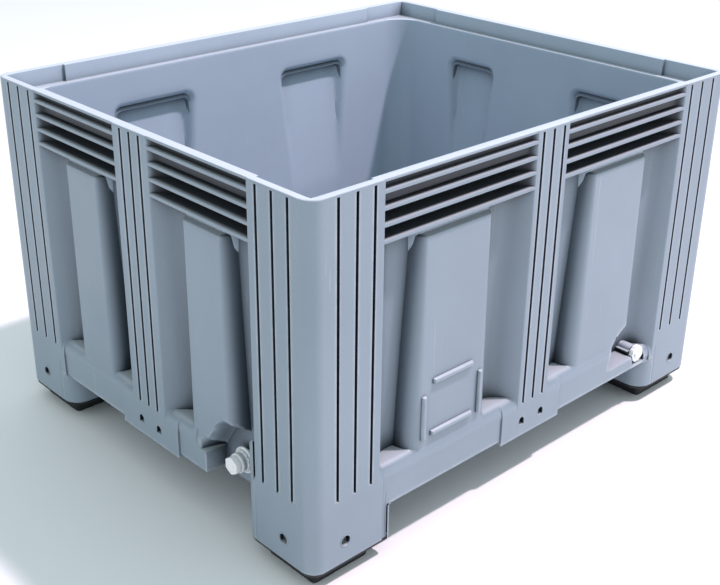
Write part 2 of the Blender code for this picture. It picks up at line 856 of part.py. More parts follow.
def foot_pads(home, cutters, black):
    """Each pad: a base that stands on the floor, a rim under the foot and a collar inside it."""
    collar = FOOT_SKIN + GAP
    hollow = collar + PAD_WALL
    for sign_x, x_name in ((-1, "left"), (1, "right")):
        for sign_y, y_name in ((-1, "front"), (1, "rear")):
            name = f"foot_pad_{y_name}_{x_name}"
            signs = (sign_x, sign_y)
            base = foot_block(*signs, PAD_INSETS, (0.0, PAD_BASE_TOP + 0.001), 0.012)
            pad = finish(base, name, home, black)
            shapes = (
                ("rim", 0.001, (PAD_BASE_TOP, FOOT_BOTTOM - GAP), CORNER_RADIUS - 0.001, "UNION"),
                ("collar", collar, (PAD_BASE_TOP + 0.001, PAD_TOP), CORNER_RADIUS - collar, "UNION"),
                ("hollow", hollow, (PAD_WEB_TOP, PAD_TOP + 0.002), 0.008, "DIFFERENCE"),
            )
            for part, inset, heights, radius, operation in shapes:
                shape = foot_block(*signs, (inset, inset), heights, radius)
                boolean(pad, finish(shape, f"{name}_{part}", cutters), operation)
            holes = bmesh.new()
            for side, u in screw_places():
                centre = side.place(u, 0.0, SCREW_Z)
                if centre.x * sign_x > 0 and centre.y * sign_y > 0:
                    start = side.place(u, FOOT_SKIN - 0.002, SCREW_Z)
                    end = side.place(u, FOOT_SKIN + PAD_WALL + 0.004, SCREW_Z)
                    add_cylinder(holes, start, end, SCREW_SHANK_RADIUS + GAP, 12)
            boolean(pad, finish(holes, f"{name}_holes", cutters), "DIFFERENCE")


def foot_screws(home, steel):
    """Two screws a foot, driven in from its two outer faces."""
    names = ("front", "right", "rear", "left")
    ends = (("left", "right"), ("front", "rear"), ("right", "left"), ("rear", "front"))
    seat = SCREW_SINK - SCREW_HEAD_LENGTH - GAP
    step = seat + SCREW_HEAD_LENGTH
    profile = stud_profile(seat, step, step + SCREW_SHANK_LENGTH, SCREW_HEAD_RADIUS, SCREW_SHANK_RADIUS)
    for side in SIDES:
        for sign, end in zip((-1, 1), ends[side.index]):
            place = inwards(side, sign * (side.half - SCREW_FROM_CORNER), SCREW_Z)
            turned(f"foot_screw_{names[side.index]}_{end}", profile, home, steel, place, 12)


def main():
    clear_scene()
    home = collection("plastic_pallet_box")
    cutters = collection("cutters")
    plastic = material("box_plastic", (0.33, 0.43, 0.50), 0.45)
    white = material("fitting_plastic", (0.86, 0.86, 0.84), 0.40)
    black = material("pad_plastic", (0.02, 0.02, 0.022), 0.60)
    rubber = material("seal_rubber", (0.03, 0.03, 0.03), 0.75)
    steel = material("screw_steel", (0.30, 0.30, 0.31), 0.35, 1.0)
    box_body(home, cutters, plastic)
    foot_pads(home, cutters, black)
    foot_screws(home, steel)
    capped_outlet(home, cutters, white, rubber)
    plugged_outlet(home, cutters, white, rubber)


main()
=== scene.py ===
"""Looks for the plastic pallet box: moulded skin, pads, screws and outlets, with their materials.

Metres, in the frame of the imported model. A side of the box is described in its own terms: u runs
along the side, v runs inwards from its outer plane, and z is the height above the floor.
"""

import math

import bmesh
import bpy
import numpy as np
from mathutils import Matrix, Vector


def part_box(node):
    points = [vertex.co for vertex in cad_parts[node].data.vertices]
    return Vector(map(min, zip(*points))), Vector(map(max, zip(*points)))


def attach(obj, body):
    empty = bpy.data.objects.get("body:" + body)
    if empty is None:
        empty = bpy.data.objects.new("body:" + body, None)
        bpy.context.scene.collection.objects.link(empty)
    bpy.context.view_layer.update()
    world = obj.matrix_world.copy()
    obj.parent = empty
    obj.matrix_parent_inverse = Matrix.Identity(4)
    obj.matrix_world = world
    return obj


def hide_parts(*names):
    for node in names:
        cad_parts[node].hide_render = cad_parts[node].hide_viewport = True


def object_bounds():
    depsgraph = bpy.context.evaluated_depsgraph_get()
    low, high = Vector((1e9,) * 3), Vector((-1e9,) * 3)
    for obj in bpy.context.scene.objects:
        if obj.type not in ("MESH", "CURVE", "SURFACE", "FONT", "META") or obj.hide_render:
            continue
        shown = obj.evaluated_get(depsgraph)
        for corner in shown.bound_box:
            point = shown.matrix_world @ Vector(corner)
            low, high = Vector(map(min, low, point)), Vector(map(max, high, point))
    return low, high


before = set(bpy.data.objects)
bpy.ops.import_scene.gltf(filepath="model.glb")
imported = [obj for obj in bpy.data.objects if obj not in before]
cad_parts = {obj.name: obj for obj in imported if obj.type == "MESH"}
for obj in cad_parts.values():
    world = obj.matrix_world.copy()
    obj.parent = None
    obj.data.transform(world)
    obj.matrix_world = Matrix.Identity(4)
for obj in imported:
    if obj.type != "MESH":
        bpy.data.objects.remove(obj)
CAD_LOW, CAD_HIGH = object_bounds()

# Sizes of the box, from the frame
HALVES = (float(CAD_HIGH[0]), float(CAD_HIGH[1]))
TOP = float(CAD_HIGH[2])
FOOT_BOTTOM = float(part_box("box_body")[0][2])
CORNER_RADIUS = 0.030

# Outside, the long sides first
BAY_IN = (0.045, 0.055)
BAY_OUT = (HALVES[0] - 0.162, HALVES[1] - 0.157)
SIDE_SLOPE = 0.9
PANEL_FLAT = (0.080, 0.050)
PANEL_HEAD = (0.098, 0.066)
PANEL_FOOT = (0.116, 0.074)
PANEL_DEPTH = 0.009
PANEL_TOP = 0.636
PANEL_TOP_ROUND = 0.012
BACK_DEPTH = 0.038
BACK_DRAFT = 0.027
UPPER_DEPTH = 0.013
UPPER_BOTTOM = 0.716
BAND_BOTTOM = 0.755
RIB_TOP = 0.738
RIB_PITCH = 0.0297
RIB_COUNT = 4
RIB_HALF = 0.00325
RIB_ROUND = 0.0014
SKIRT_DEPTH = 0.003
SKIRT_START = (HALVES[0] - 0.172, HALVES[1] - 0.167)
SKIRT_BOTTOM = 0.113
BLOCK_HALF = (0.092, 0.0975)
BLOCK_BOTTOM = 0.103
SILL_FACE = 0.170
SILL_TOP = 0.197
SILL_DEPTH = 0.022
GROOVE_INSETS = ((0.060, 0.1015, 0.141), (0.054, 0.094, 0.135))
GROOVE_PITCH = 0.0304
GROOVE_HALF = 0.0027
GROOVE_DEPTH = 0.010
GROOVE_BOTTOM = 0.179
FOOT_SIZE = (0.195, 0.190)
NEAR_ROUND = (0.0090, 0.0275)
FOOT_ROUND = 0.0410
SKIN = 0.007

# Inside
LIP_WIDTH = 0.017
LIP_EXTRA = 0.006
LIP_STEP = 0.145
LEDGE = 0.724
BEAD_INSET = 0.0435
INNER_INSET = 0.0450
INNER_DRAFT = 0.0250
INNER_RADIUS = 0.060
FLOOR = 0.130
FLOOR_FILLET = 0.028
NICHE_HALF = (0.086, 0.054)
NICHE_TOP = 0.660
NICHE_BOTTOM = 0.335
NICHE_DEPTH = 0.034
NICHE_ROUND = 0.035
NICHE_EDGE = 0.020

# Outlets and screws
CAPPED_U = 0.267
CAPPED_Z = 0.167
PLUGGED_U = 0.386
PLUGGED_Z = 0.142
ARC_CENTRE = (0.357, 0.150)
ARC_RADIUS = 0.086
ARC_START = 0.262
ARC_FLOOR = 0.1400
DRAIN_CUT = (0.363, 0.409)
DRAIN_CUT_FLOOR = 0.1195
SILL_DROP = 0.047
TANK_DEPTH = 0.050
NOTCH_SPAN = (0.187, 0.3375)
NOTCH_LEDGE = 0.158
NOTCH_TOP = 0.222
CURL_START = 0.166
CURL_HEIGHT = 0.038
SCREW_INSET = 0.080
SCREW_Z = 0.087
BLOCK_HOLE_U = 0.0305
BLOCK_HOLE_Z = 0.138
SCREW_HOLE = 0.0100
DRAIN_FLUTE_END = 0.150

# The grid: the widest gap between its upright and its level lines, and the squares left for holes
STEP = 0.0055
LEVEL_STEP = 0.0085
HOLE_PATCH = 0.0140

# Underside and label frame
DECK = 0.122
WEB_BOTTOM = 0.107
WEB_PITCH = 0.097
WEBS = (9, 7)
WEB_WIDTH = 0.006
FOOT_INNER_ROUND = 0.045
LABEL_U = -0.242

# The seam where a foot's rounded corner starts
SEAM_SETBACK = 0.004
SEAM_HALF = 0.0014

# Light and camera, the camera's place being that of the perspective fit to the box's edges
SKY_COLOUR = (0.84, 0.96, 1.0, 1.0)
SKY_STRENGTH = 0.84
KEY_PLACE = (2.25, -2.30, 6.60)
KEY_TARGET = (0.0, 0.0, 0.35)
KEY_SIZE = 0.35
KEY_POWER = 450.0
KEY_COLOUR = (1.0, 0.84, 0.96)
LENS = 58.64
CAMERA_PLACE = (-1.6953, -1.7690, 1.4042)
CAMERA_TURN = (64.653, -0.619, -43.193)


# ---------------------------------------------------------------- surfaces


def quarter(t):
    """A quarter round: 0 at t = 0, rising to 1 at t = 1 with an upright end."""
    return 1 - np.sqrt(1 - np.clip(t, 0, 1) ** 2)


def ramp(t):
    t = np.clip(t, 0, 1)
    return t * t * (3 - 2 * t)


def soft_min(a, b, reach):
    mix = np.clip(0.5 + 0.5 * (b - a) / reach, 0, 1)
    return b * (1 - mix) + a * mix - reach * mix * (1 - mix)


def soft_max(a, b, reach):
    return -soft_min(-a, -b, reach)


def sill_profile(z, face):
    """Depth of the slope from the skirt's face up to the sill; nothing limits the depth above it."""
    t = (z - SILL_FACE) / (SILL_TOP - SILL_FACE)
    return np.where(z > SILL_TOP + 1e-4, 1.0, face + (SILL_DEPTH - face) * quarter(t * 0.985))


def groove_depth(kind, u, z):
    half = HALVES[kind]
    corner = [half - inset for inset in GROOVE_INSETS[kind]]
    depth = np.zeros_like(u)
    for centre in (0.0, GROOVE_PITCH, *corner):
        across = np.abs(np.abs(u) - centre)
        wall = ramp((GROOVE_HALF + 0.0005 - across) / 0.0009)
        end = np.clip((z - GROOVE_BOTTOM) / 0.0045, 0, 1)
        depth = np.maximum(depth, GROOVE_DEPTH * wall * end)
    return np.where(z < BAND_BOTTOM, depth, 0.0)


def sill_drop(index, u):
    """How much lower the sill lies, which is only beside the plugged drain."""
    return SILL_DROP * (u > DRAIN_CUT[0] - 0.0005) * (u < HALVES[0] - DRAIN_FLUTE_END) if index == 0 else 0.0


def panel_edge(kind, z):
    """Half the width of a panel, which widens downwards."""
    share = np.clip((PANEL_TOP - z) / (PANEL_TOP - SILL_TOP), 0, 1)
    return PANEL_HEAD[kind] + (PANEL_FOOT[kind] - PANEL_HEAD[kind]) * share


def follow_panels(kind, u, z):
    """Slides the grid's upright lines sideways, so that they run along the panels' edges."""
    middle = (BAY_IN[kind] + BAY_OUT[kind]) / 2
    half = (BAY_OUT[kind] - BAY_IN[kind]) / 2
    off = np.abs(u) - middle
    x = np.abs(off)
    flat, foot, edge = PANEL_FLAT[kind], PANEL_FOOT[kind], panel_edge(kind, z)
    rounded = flat + (x - flat) * (edge - flat) / (foot - flat)
    beyond = edge + (x - foot) * (half - edge) / (half - foot)
    slid = np.where(x <= flat, x, np.where(x <= foot, rounded, beyond))
    moved = np.sign(u) * (middle + np.sign(off) * slid)
    return np.where((x < half) & (z < BAND_BOTTOM), moved, u)


def outer_depth(index, u, z):
    """How deep the moulded skin of a side lies behind the side's outer plane."""
    kind = index % 2
    middle = (BAY_IN[kind] + BAY_OUT[kind]) / 2
    half = (BAY_OUT[kind] - BAY_IN[kind]) / 2
    x = np.abs(np.abs(u) - middle)
    wall = (half - x) / SIDE_SLOPE
    back = BACK_DEPTH + BACK_DRAFT * (PANEL_TOP - z)
    depth = soft_min(wall, back, 0.016)
    edge = panel_edge(kind, z)
    sideways = np.clip((x - PANEL_FLAT[kind]) / (edge - PANEL_FLAT[kind]), 0, None)
    upwards = np.clip((z - PANEL_TOP + PANEL_TOP_ROUND) / PANEL_TOP_ROUND, 0, None)
    away = np.hypot(sideways, upwards)
    panel = PANEL_DEPTH + np.where(away < 1, 0.042 * quarter(away), 0.2)
    depth = soft_min(depth, panel, 0.007)
    depth = np.where(z > UPPER_BOTTOM, np.minimum(depth, UPPER_DEPTH), depth)
    sill_z = z + sill_drop(index, u)
    depth = soft_min(depth, sill_profile(sill_z, SKIRT_DEPTH), 0.003)
    for number in range(RIB_COUNT):
        off = np.abs(z - (RIB_TOP - number * RIB_PITCH))
        rib = RIB_ROUND * quarter((off - RIB_HALF + RIB_ROUND) / RIB_ROUND)
        depth = np.where(off <= RIB_HALF + 1e-5, np.minimum(depth, rib), depth)
    band = RIB_ROUND * quarter((BAND_BOTTOM + RIB_ROUND - z) / RIB_ROUND)
    depth = np.where(z >= BAND_BOTTOM - 1e-5, np.minimum(depth, band), depth)
    depth = soft_max(depth, np.zeros_like(u), 0.004) - 0.001 * (z < BAND_BOTTOM)
    skirt = ramp((np.abs(u) - BLOCK_HALF[kind]) / 0.0012) * ramp((SKIRT_START[kind] - np.abs(u)) / 0.0012)
    low = sill_profile(sill_z, 0.0) * (1 - skirt) + sill_profile(sill_z, SKIRT_DEPTH) * skirt
    depth = np.where(sill_z <= SILL_TOP, np.minimum(np.maximum(depth, 0), low), np.maximum(depth, 0))
    depth = np.where(sill_z < SILL_FACE, np.minimum(low, SKIRT_DEPTH), depth)
    seam = np.abs(np.abs(u) - HALVES[kind] + FOOT_SIZE[kind] - foot_round(index, u) - SEAM_SETBACK)
    depth = depth + 0.0006 * ramp((SEAM_HALF - seam) / 0.0008) * (z < SKIRT_BOTTOM + 0.03)
    depth = depth + groove_depth(kind, u, z) * (depth < 0.002)
    if index == 3:
        curled = ramp(1 - (z - notch_ceiling(u)) / CURL_HEIGHT)
        curled *= ramp((u - CURL_START) / (NOTCH_SPAN[0] - CURL_START))
        above = (z > NOTCH_LEDGE + 0.0001) | (u > NOTCH_SPAN[0] + 0.0001)
        above &= (u < NOTCH_SPAN[1]) & (z > NOTCH_LEDGE - 0.0001)
        depth = np.maximum(depth, TANK_DEPTH * curled * above)
    top = 0.002 * quarter((z - TOP + 0.002) / 0.002)
    return depth + top


def lines(values, reach):
    """Grid lines at the values and, between them, wherever a gap is wider than reach."""
    values = sorted({round(value, 5) for value in values})
    found = [values[0]]
    for value in values[1:]:
        gap = value - found[-1]
        count = max(1, math.ceil(gap / reach - 1e-6))
        found += [found[-1] + gap * (k + 1) / count for k in range(count)]
    return np.array(found)


def u_lines(index):
    kind = index % 2
    half = HALVES[kind]
    marks = [0.0, half - CORNER_RADIUS]
    corner = [half - inset for inset in GROOVE_INSETS[kind]]
    for centre in (0.0, GROOVE_PITCH, *corner):
        for off in (0.0005, 0.0002, -0.0001, -0.0004):
            marks += [centre + GROOVE_HALF + off, centre - GROOVE_HALF - off]
    for edge in (BAY_IN[kind], BAY_OUT[kind]):
        marks += [edge + off for off in (-0.004, -0.0025, -0.001, 0.0, 0.001, 0.0025, 0.004)]
    for edge in (BLOCK_HALF[kind], SKIRT_START[kind], half - FOOT_SIZE[kind]):
        marks += [edge, edge + 0.0012, edge - 0.0012]
    for turn in (NEAR_ROUND[kind], FOOT_ROUND):
        seam = half - FOOT_SIZE[kind] + turn + SEAM_SETBACK
        marks += [seam - SEAM_SETBACK, seam - SEAM_HALF, seam, seam + SEAM_HALF]
    middle = (BAY_IN[kind] + BAY_OUT[kind]) / 2
    for edge in np.linspace(PANEL_FLAT[kind], PANEL_FOOT[kind], 12):
        marks += [middle - edge, middle + edge]
    for hole in (BLOCK_HOLE_U, half - SCREW_INSET):
        marks += [hole - HOLE_PATCH, hole + HOLE_PATCH]
    if index == 3:
        marks += [*NOTCH_SPAN, NOTCH_SPAN[0] + 0.0006]
    if index == 0:
        marks += [ARC_START, *DRAIN_CUT]
    positive = lines([value for value in marks if 0 <= value <= half - CORNER_RADIUS + 1e-6], STEP)
    arc = [half - CORNER_RADIUS + CORNER_RADIUS * math.pi / 4 * k / 7 for k in range(1, 8)]
    positive = np.concatenate([positive, arc])
    return np.concatenate([-positive[:0:-1], positive])


def z_lines():
    marks = [FOOT_BOTTOM, FOOT_BOTTOM + 0.0015, BLOCK_BOTTOM, ARC_FLOOR, SKIRT_BOTTOM, SILL_FACE, SILL_TOP]
    marks += [SILL_FACE + (SILL_TOP - SILL_FACE) * t for t in (0.3, 0.5, 0.65, 0.78, 0.88, 0.95, 0.985)]
    marks += [SILL_TOP + off for off in (0.0004, 0.004)]
    marks += [mark - SILL_DROP for mark in marks if SILL_FACE <= mark <= SILL_TOP + 0.001]
    marks += [DRAIN_CUT_FLOOR, ARC_CENTRE[1] + ARC_RADIUS]
    marks += [GROOVE_BOTTOM + off for off in (0.0, 0.0003, 0.0015, 0.003, 0.0045, 0.0048)]
    marks += [PANEL_TOP - PANEL_TOP_ROUND * t for t in (0, 0.02, 0.06, 0.12, 0.2, 0.3, 0.45, 0.6, 0.8, 1)]
    marks += [PANEL_TOP + 0.0005, PANEL_TOP - 0.020, PANEL_TOP - 0.030]
    for number in range(RIB_COUNT):
        centre = RIB_TOP - number * RIB_PITCH
        for off in (RIB_HALF, RIB_HALF + 0.0003, RIB_HALF - RIB_ROUND * 0.12, RIB_HALF - RIB_ROUND * 0.5):
            marks += [centre - off, centre + off]
        marks += [centre - RIB_HALF + RIB_ROUND, centre + RIB_HALF - RIB_ROUND]
    marks += [UPPER_BOTTOM, UPPER_BOTTOM + 0.0003]
    marks += [BAND_BOTTOM + off for off in (-0.0003, 0.0, 0.0002, 0.0007, 0.0014)]
    marks += [TOP - off for off in (0.0, 0.0002, 0.0006, 0.0012, 0.002)]
    for hole in (BLOCK_HOLE_Z, SCREW_Z):
        marks += [hole - HOLE_PATCH, hole + HOLE_PATCH]
    return lines(marks, LEVEL_STEP)


def place(index, u, v, z):
    """Points of a side, given along it, behind its outer plane and up, as rows of x, y, z."""
    out = v - HALVES[1 - index % 2]
    x, y = ((u, out), (-out, u), (-u, -out), (out, -u))[index]
    return np.stack(np.broadcast_arrays(x, y, z), axis=-1)


def side_points(index, s, v, z):
    """As place, with s following the rounded corners at both ends of the side."""
    flat = HALVES[index % 2] - CORNER_RADIUS
    turn = np.clip(np.abs(s) - flat, 0, None) / CORNER_RADIUS
    u = np.sign(s) * (np.minimum(np.abs(s), flat) + (CORNER_RADIUS - v) * np.sin(turn))
    deep = np.where(turn > 0, CORNER_RADIUS - (CORNER_RADIUS - v) * np.cos(turn), v)
    return place(index, u, deep, z)


def foot_round(index, u):
    """Radius of the upright corner that ends a foot's outer face, sharper beside the capped outlet."""
    near = {0: u < 0, 3: u > 0}.get(index, False)
    return np.where(near, NEAR_ROUND[index % 2], FOOT_ROUND)


def bottom_of(index, u):
    """Height of the skin's lower edge."""
    kind, x = index % 2, np.abs(u)
    edge = np.where(x < BLOCK_HALF[kind], BLOCK_BOTTOM, SKIRT_BOTTOM)
    return np.where(x > HALVES[kind] - FOOT_SIZE[kind] + foot_round(index, u), FOOT_BOTTOM, edge)


def notch_ceiling(u):
    """Height of the capped outlet's ceiling: it curves up from the ledge and rises over the flute's wall."""
    wall = np.clip((BAY_OUT[1] - np.asarray(u, float)) / SIDE_SLOPE, 0, TANK_DEPTH)
    top = NOTCH_TOP + 0.85 * (TANK_DEPTH - wall)
    t = np.clip((u - NOTCH_SPAN[0] - 0.004) / 0.052, 0, 1)
    return NOTCH_LEDGE + (top - NOTCH_LEDGE) * np.sin(t * math.pi / 2)


def opened(index, u, z):
    """True where an outlet's notch opens the skin."""
    if index == 3:
        return (u > NOTCH_SPAN[0]) & (u < NOTCH_SPAN[1]) & (z < notch_ceiling(u))
    if index == 0:
        arc = (np.hypot(u - ARC_CENTRE[0], z - ARC_CENTRE[1]) < ARC_RADIUS) & (z > ARC_FLOOR)
        arc &= (u > ARC_START) & (u < DRAIN_CUT[0])
        cut = (u > DRAIN_CUT[0]) & (u < DRAIN_CUT[1]) & (z > DRAIN_CUT_FLOOR) & (z < SILL_TOP - SILL_DROP)
        return arc | cut
    return np.zeros_like(u, bool)


def ring_faces(rows, count):
    """Faces between closed rings of count points each."""
    found = []
    for row in range(rows - 1):
        for k in range(count):
            a, b = row * count + k, row * count + (k + 1) % count
            found.append((a, b, b + count, a + count))
    return found


class Faces:
    """Vertices and faces gathered from several grids."""

    def __init__(self):
        self.points, self.faces, self.count = [], [], 0

    def add(self, points, faces):
        points = np.asarray(points, float).reshape(-1, 3)
        self.points.append(points)
        self.faces += [tuple(corner + self.count for corner in face) for face in faces]
        self.count += len(points)

    def build(self, name, finish, sharp=38.0, weld=2e-5):
        mesh = bpy.data.meshes.new(name)
        mesh.from_pydata(np.concatenate(self.points).tolist(), [], self.faces)
        work = bmesh.new()
        work.from_mesh(mesh)
        bmesh.ops.remove_doubles(work, verts=work.verts, dist=weld)
        bmesh.ops.dissolve_degenerate(work, edges=work.edges, dist=1e-6)
        work.to_mesh(mesh)
        work.free()
        return new_piece(name, mesh, finish, sharp)


def new_piece(name, mesh, finish, sharp=38.0):
    mesh.materials.append(finish)
    piece = bpy.data.objects.new(name, mesh)
    bpy.context.scene.collection.objects.link(piece)
    mesh.shade_smooth()
    mesh.set_sharp_from_angle(angle=math.radians(sharp))
    return piece


def grid_faces(rows, columns, keep=None):
    found = []
    for i in range(rows - 1):
        for j in range(columns - 1):
            if keep is None or keep[i, j]:
                a = i * columns + j
                found.append((a, a + 1, a + columns + 1, a + columns))
    return found


def hole_patch(gathered, index, u0, z0, outline, depth, raised):
    """Fills a square of the grid round a hole, and gives the hole a rim, a wall and an end."""
    rim = ((1.30, 0.0), (1.24, -raised * 0.7), (1.17, -raised), (1.08, -raised * 0.8), (1.02, 0.0))
    wall = ((1.0, 0.001), (1.0, 0.005), (1.0, depth), (0.55, depth), (0.0, depth))
    count = 40
    angles = np.arange(count) * 2 * math.pi / count
    c, s = np.cos(angles), np.sin(angles)
    square = HOLE_PATCH / np.maximum(np.abs(c), np.abs(s))
    hole = np.array([outline(angle) for angle in angles])
    rings = [(c * square, s * square, 0.0)]
    for grow, v in (*rim, *wall):
        rings.append((hole[:, 0] * grow, hole[:, 1] * grow, v))
    points = np.concatenate([place(index, u0 + x, np.full(count, v), z0 + z) for x, z, v in rings])
    gathered.add(points, ring_faces(len(rings), count))


def round_hole(radius):
    return lambda angle: (radius * math.cos(angle), radius * math.sin(angle))


def arched_hole(half, rise, drop):
    """A hole with a round head and a flat foot."""

    def outline(angle):
        c, s = math.cos(angle), math.sin(angle)
        if s >= 0:
            return half * c, rise * s
        scale = 1 / max(abs(c) / half, abs(s) / drop)
        return c * scale, s * scale

    return outline


def add_side(gathered, index):
    kind = index % 2
    u, z = u_lines(index), z_lines()
    uu, zz = np.meshgrid(u, z)
    uu = follow_panels(kind, uu, zz)
    if index == 0:
        uu, zz = snap_to_arc(uu, zz)
    if index == 3:
        zz = follow_ceiling(uu, zz)
    vv = outer_depth(index, uu, zz)
    points = side_points(index, uu, vv, zz)
    mid_u = (uu[1:, 1:] + uu[:-1, :-1] + uu[1:, :-1] + uu[:-1, 1:]) / 4
    mid_z = (zz[1:, 1:] + zz[:-1, :-1] + zz[1:, :-1] + zz[:-1, 1:]) / 4
    solid = (mid_z > bottom_of(index, mid_u)) & ~opened(index, mid_u, mid_z)
    holes = [(sign * BLOCK_HOLE_U, BLOCK_HOLE_Z) for sign in (-1, 1)]
    holes += [(sign * (HALVES[kind] - SCREW_INSET), SCREW_Z) for sign in (-1, 1)]
    patched = np.zeros_like(solid)
    for u0, z0 in holes:
        patched |= (np.abs(mid_u - u0) < HOLE_PATCH) & (np.abs(mid_z - z0) < HOLE_PATCH)
    gathered.add(points, grid_faces(*uu.shape, solid & ~patched))
    for u0, z0 in holes[:2]:
        hole_patch(gathered, index, u0, z0, arched_hole(0.0076, 0.0090, 0.0088), 0.030, 0.0002)
    for u0, z0 in holes[2:]:
        hole_patch(gathered, index, u0, z0, round_hole(SCREW_HOLE), 0.0110, 0.0010)
    add_edges(gathered, index, uu, zz, vv, solid)


def snap_to_arc(uu, zz):
    """Moves the grid points nearest the arched notch onto its arc."""
    du, dz = uu - ARC_CENTRE[0], zz - ARC_CENTRE[1]
    away = np.hypot(du, dz)
    near = (np.abs(away - ARC_RADIUS) < 0.0042) & (uu > ARC_START) & (uu < DRAIN_CUT[0] - 1e-4)
    near &= zz > ARC_FLOOR + 0.001
    scale = np.where(near, ARC_RADIUS / np.maximum(away, 1e-6), 1)
    return ARC_CENTRE[0] + du * scale, ARC_CENTRE[1] + dz * scale


def follow_ceiling(uu, zz):
    """Slides the grid's level lines up or down, so that the sill's runs along the outlet notch's ceiling."""
    share = ramp((uu - NOTCH_SPAN[0] + 0.037) / 0.015) * ramp((NOTCH_SPAN[1] + 0.025 - uu) / 0.020)
    low, line, high = SKIRT_BOTTOM, SILL_TOP, 0.320
    ceiling = line + (notch_ceiling(uu) - line) * share
    below = low + (zz - low) * (ceiling - low) / (line - low)
    above = high - (high - zz) * (high - ceiling) / (high - line)
    slid = np.where(zz <= line + 1e-6, below, above)
    return np.where((zz > low) & (zz < high), slid, zz)


def add_edges(gathered, index, uu, zz, vv, solid):
    """Gives the skin's open edges their thickness, and the notches their walls."""
    rows, columns = uu.shape
    padded = np.zeros((rows + 1, columns + 1), bool)
    padded[1:-1, 1:-1] = solid
    edges = []
    for i in range(rows - 1):
        for j in range(columns - 1):
            if solid[i, j] and i + 1 < rows - 1 and not solid[i + 1, j]:
                edges.append(((i + 1, j), (i + 1, j + 1)))
            if solid[i, j] and (i == 0 or not solid[i - 1, j]):
                edges.append(((i, j + 1), (i, j)))
            if solid[i, j] and j + 1 < columns - 1 and not solid[i, j + 1]:
                edges.append(((i + 1, j + 1), (i, j + 1)))
            if solid[i, j] and j > 0 and not solid[i, j - 1]:
                edges.append(((i, j), (i + 1, j)))
    for edge in edges:
        corner = [(uu[k], vv[k], zz[k]) for k in edge]
        deep = any(in_notch(index, u, z) for u, _, z in corner)
        back = [TANK_DEPTH if deep else v + SKIN for _, v, _ in corner]
        corner += [(u, b, z) for (u, _, z), b in zip(corner[::-1], back[::-1])]
        quad = [side_points(index, *np.array(point)) for point in corner]
        gathered.add(np.array(quad), [(0, 1, 2, 3)])


def in_notch(index, u, z):
    """True on the rim of an outlet's notch, the foot's edge left out."""
    if index == 3:
        return NOTCH_SPAN[0] - 1e-4 <= u <= NOTCH_SPAN[1] + 1e-4 and SKIRT_BOTTOM - 1e-4 < z < 0.275
    if index == 0:
        away = math.hypot(u - ARC_CENTRE[0], z - ARC_CENTRE[1])
        inside = ARC_START - 1e-4 <= u <= DRAIN_CUT[1] + 1e-4 and z > DRAIN_CUT_FLOOR - 1e-4
        return inside and away < ARC_RADIUS + 0.020
    return False


def add_tank_walls(gathered):
    """The tub's wall where the notches show it."""
    for index, low, high, top in ((3, 0.150, 0.350, 0.280), (0, 0.240, 0.470, 0.260)):
        u = np.linspace(low, high, 14)
        z = np.linspace(0.106, top, 10)
        uu, zz = np.meshgrid(u, z)
        gathered.add(place(index, uu, np.full_like(uu, TANK_DEPTH), zz), grid_faces(*uu.shape))


# ---------------------------------------------------------------- the tub inside


def ring_lines(kind):
    """Places along the straight middle of a side that every ring of the tub shares."""
    half, reach = HALVES[kind], HALVES[kind] - 0.150
    marks = [0.0, reach, half - LIP_STEP - 0.0062]
    middle = (BAY_IN[kind] + BAY_OUT[kind]) / 2
    for off in (0.0, 0.003, 0.006, 0.010, 0.014, 0.018, 0.022, 0.026, 0.033):
        reach_in = NICHE_HALF[kind] + NICHE_DEPTH - 1.3 * off
        marks += [middle - reach_in, middle + reach_in]
    positive = lines([value for value in marks if value <= reach], 0.012)
    return np.concatenate([-positive[:0:-1], positive])


def niche_depth(index, u, z):
    """Depth of the niches in the tub's walls: rounded over at the top, fading out downwards."""
    kind = index % 2
    middle = (BAY_IN[kind] + BAY_OUT[kind]) / 2
    fade = np.clip((z - NICHE_BOTTOM) / (NICHE_TOP - NICHE_BOTTOM), 0, 1)
    deep = NICHE_DEPTH * fade
    beside = NICHE_HALF[kind] + deep - np.abs(np.abs(u) - middle)
    above = NICHE_TOP - z
    corner = NICHE_ROUND - np.hypot(NICHE_ROUND - beside, NICHE_ROUND - above)
    inside = np.where((beside < NICHE_ROUND) & (above < NICHE_ROUND), corner, np.minimum(beside, above))
    limit = np.where(inside < NICHE_EDGE, NICHE_DEPTH * quarter(inside / NICHE_EDGE), 1.0)
    depth = soft_min(np.clip(beside, 0, None), deep, 0.004)
    return np.clip(np.minimum(depth, limit), 0, None) * (inside > 0)


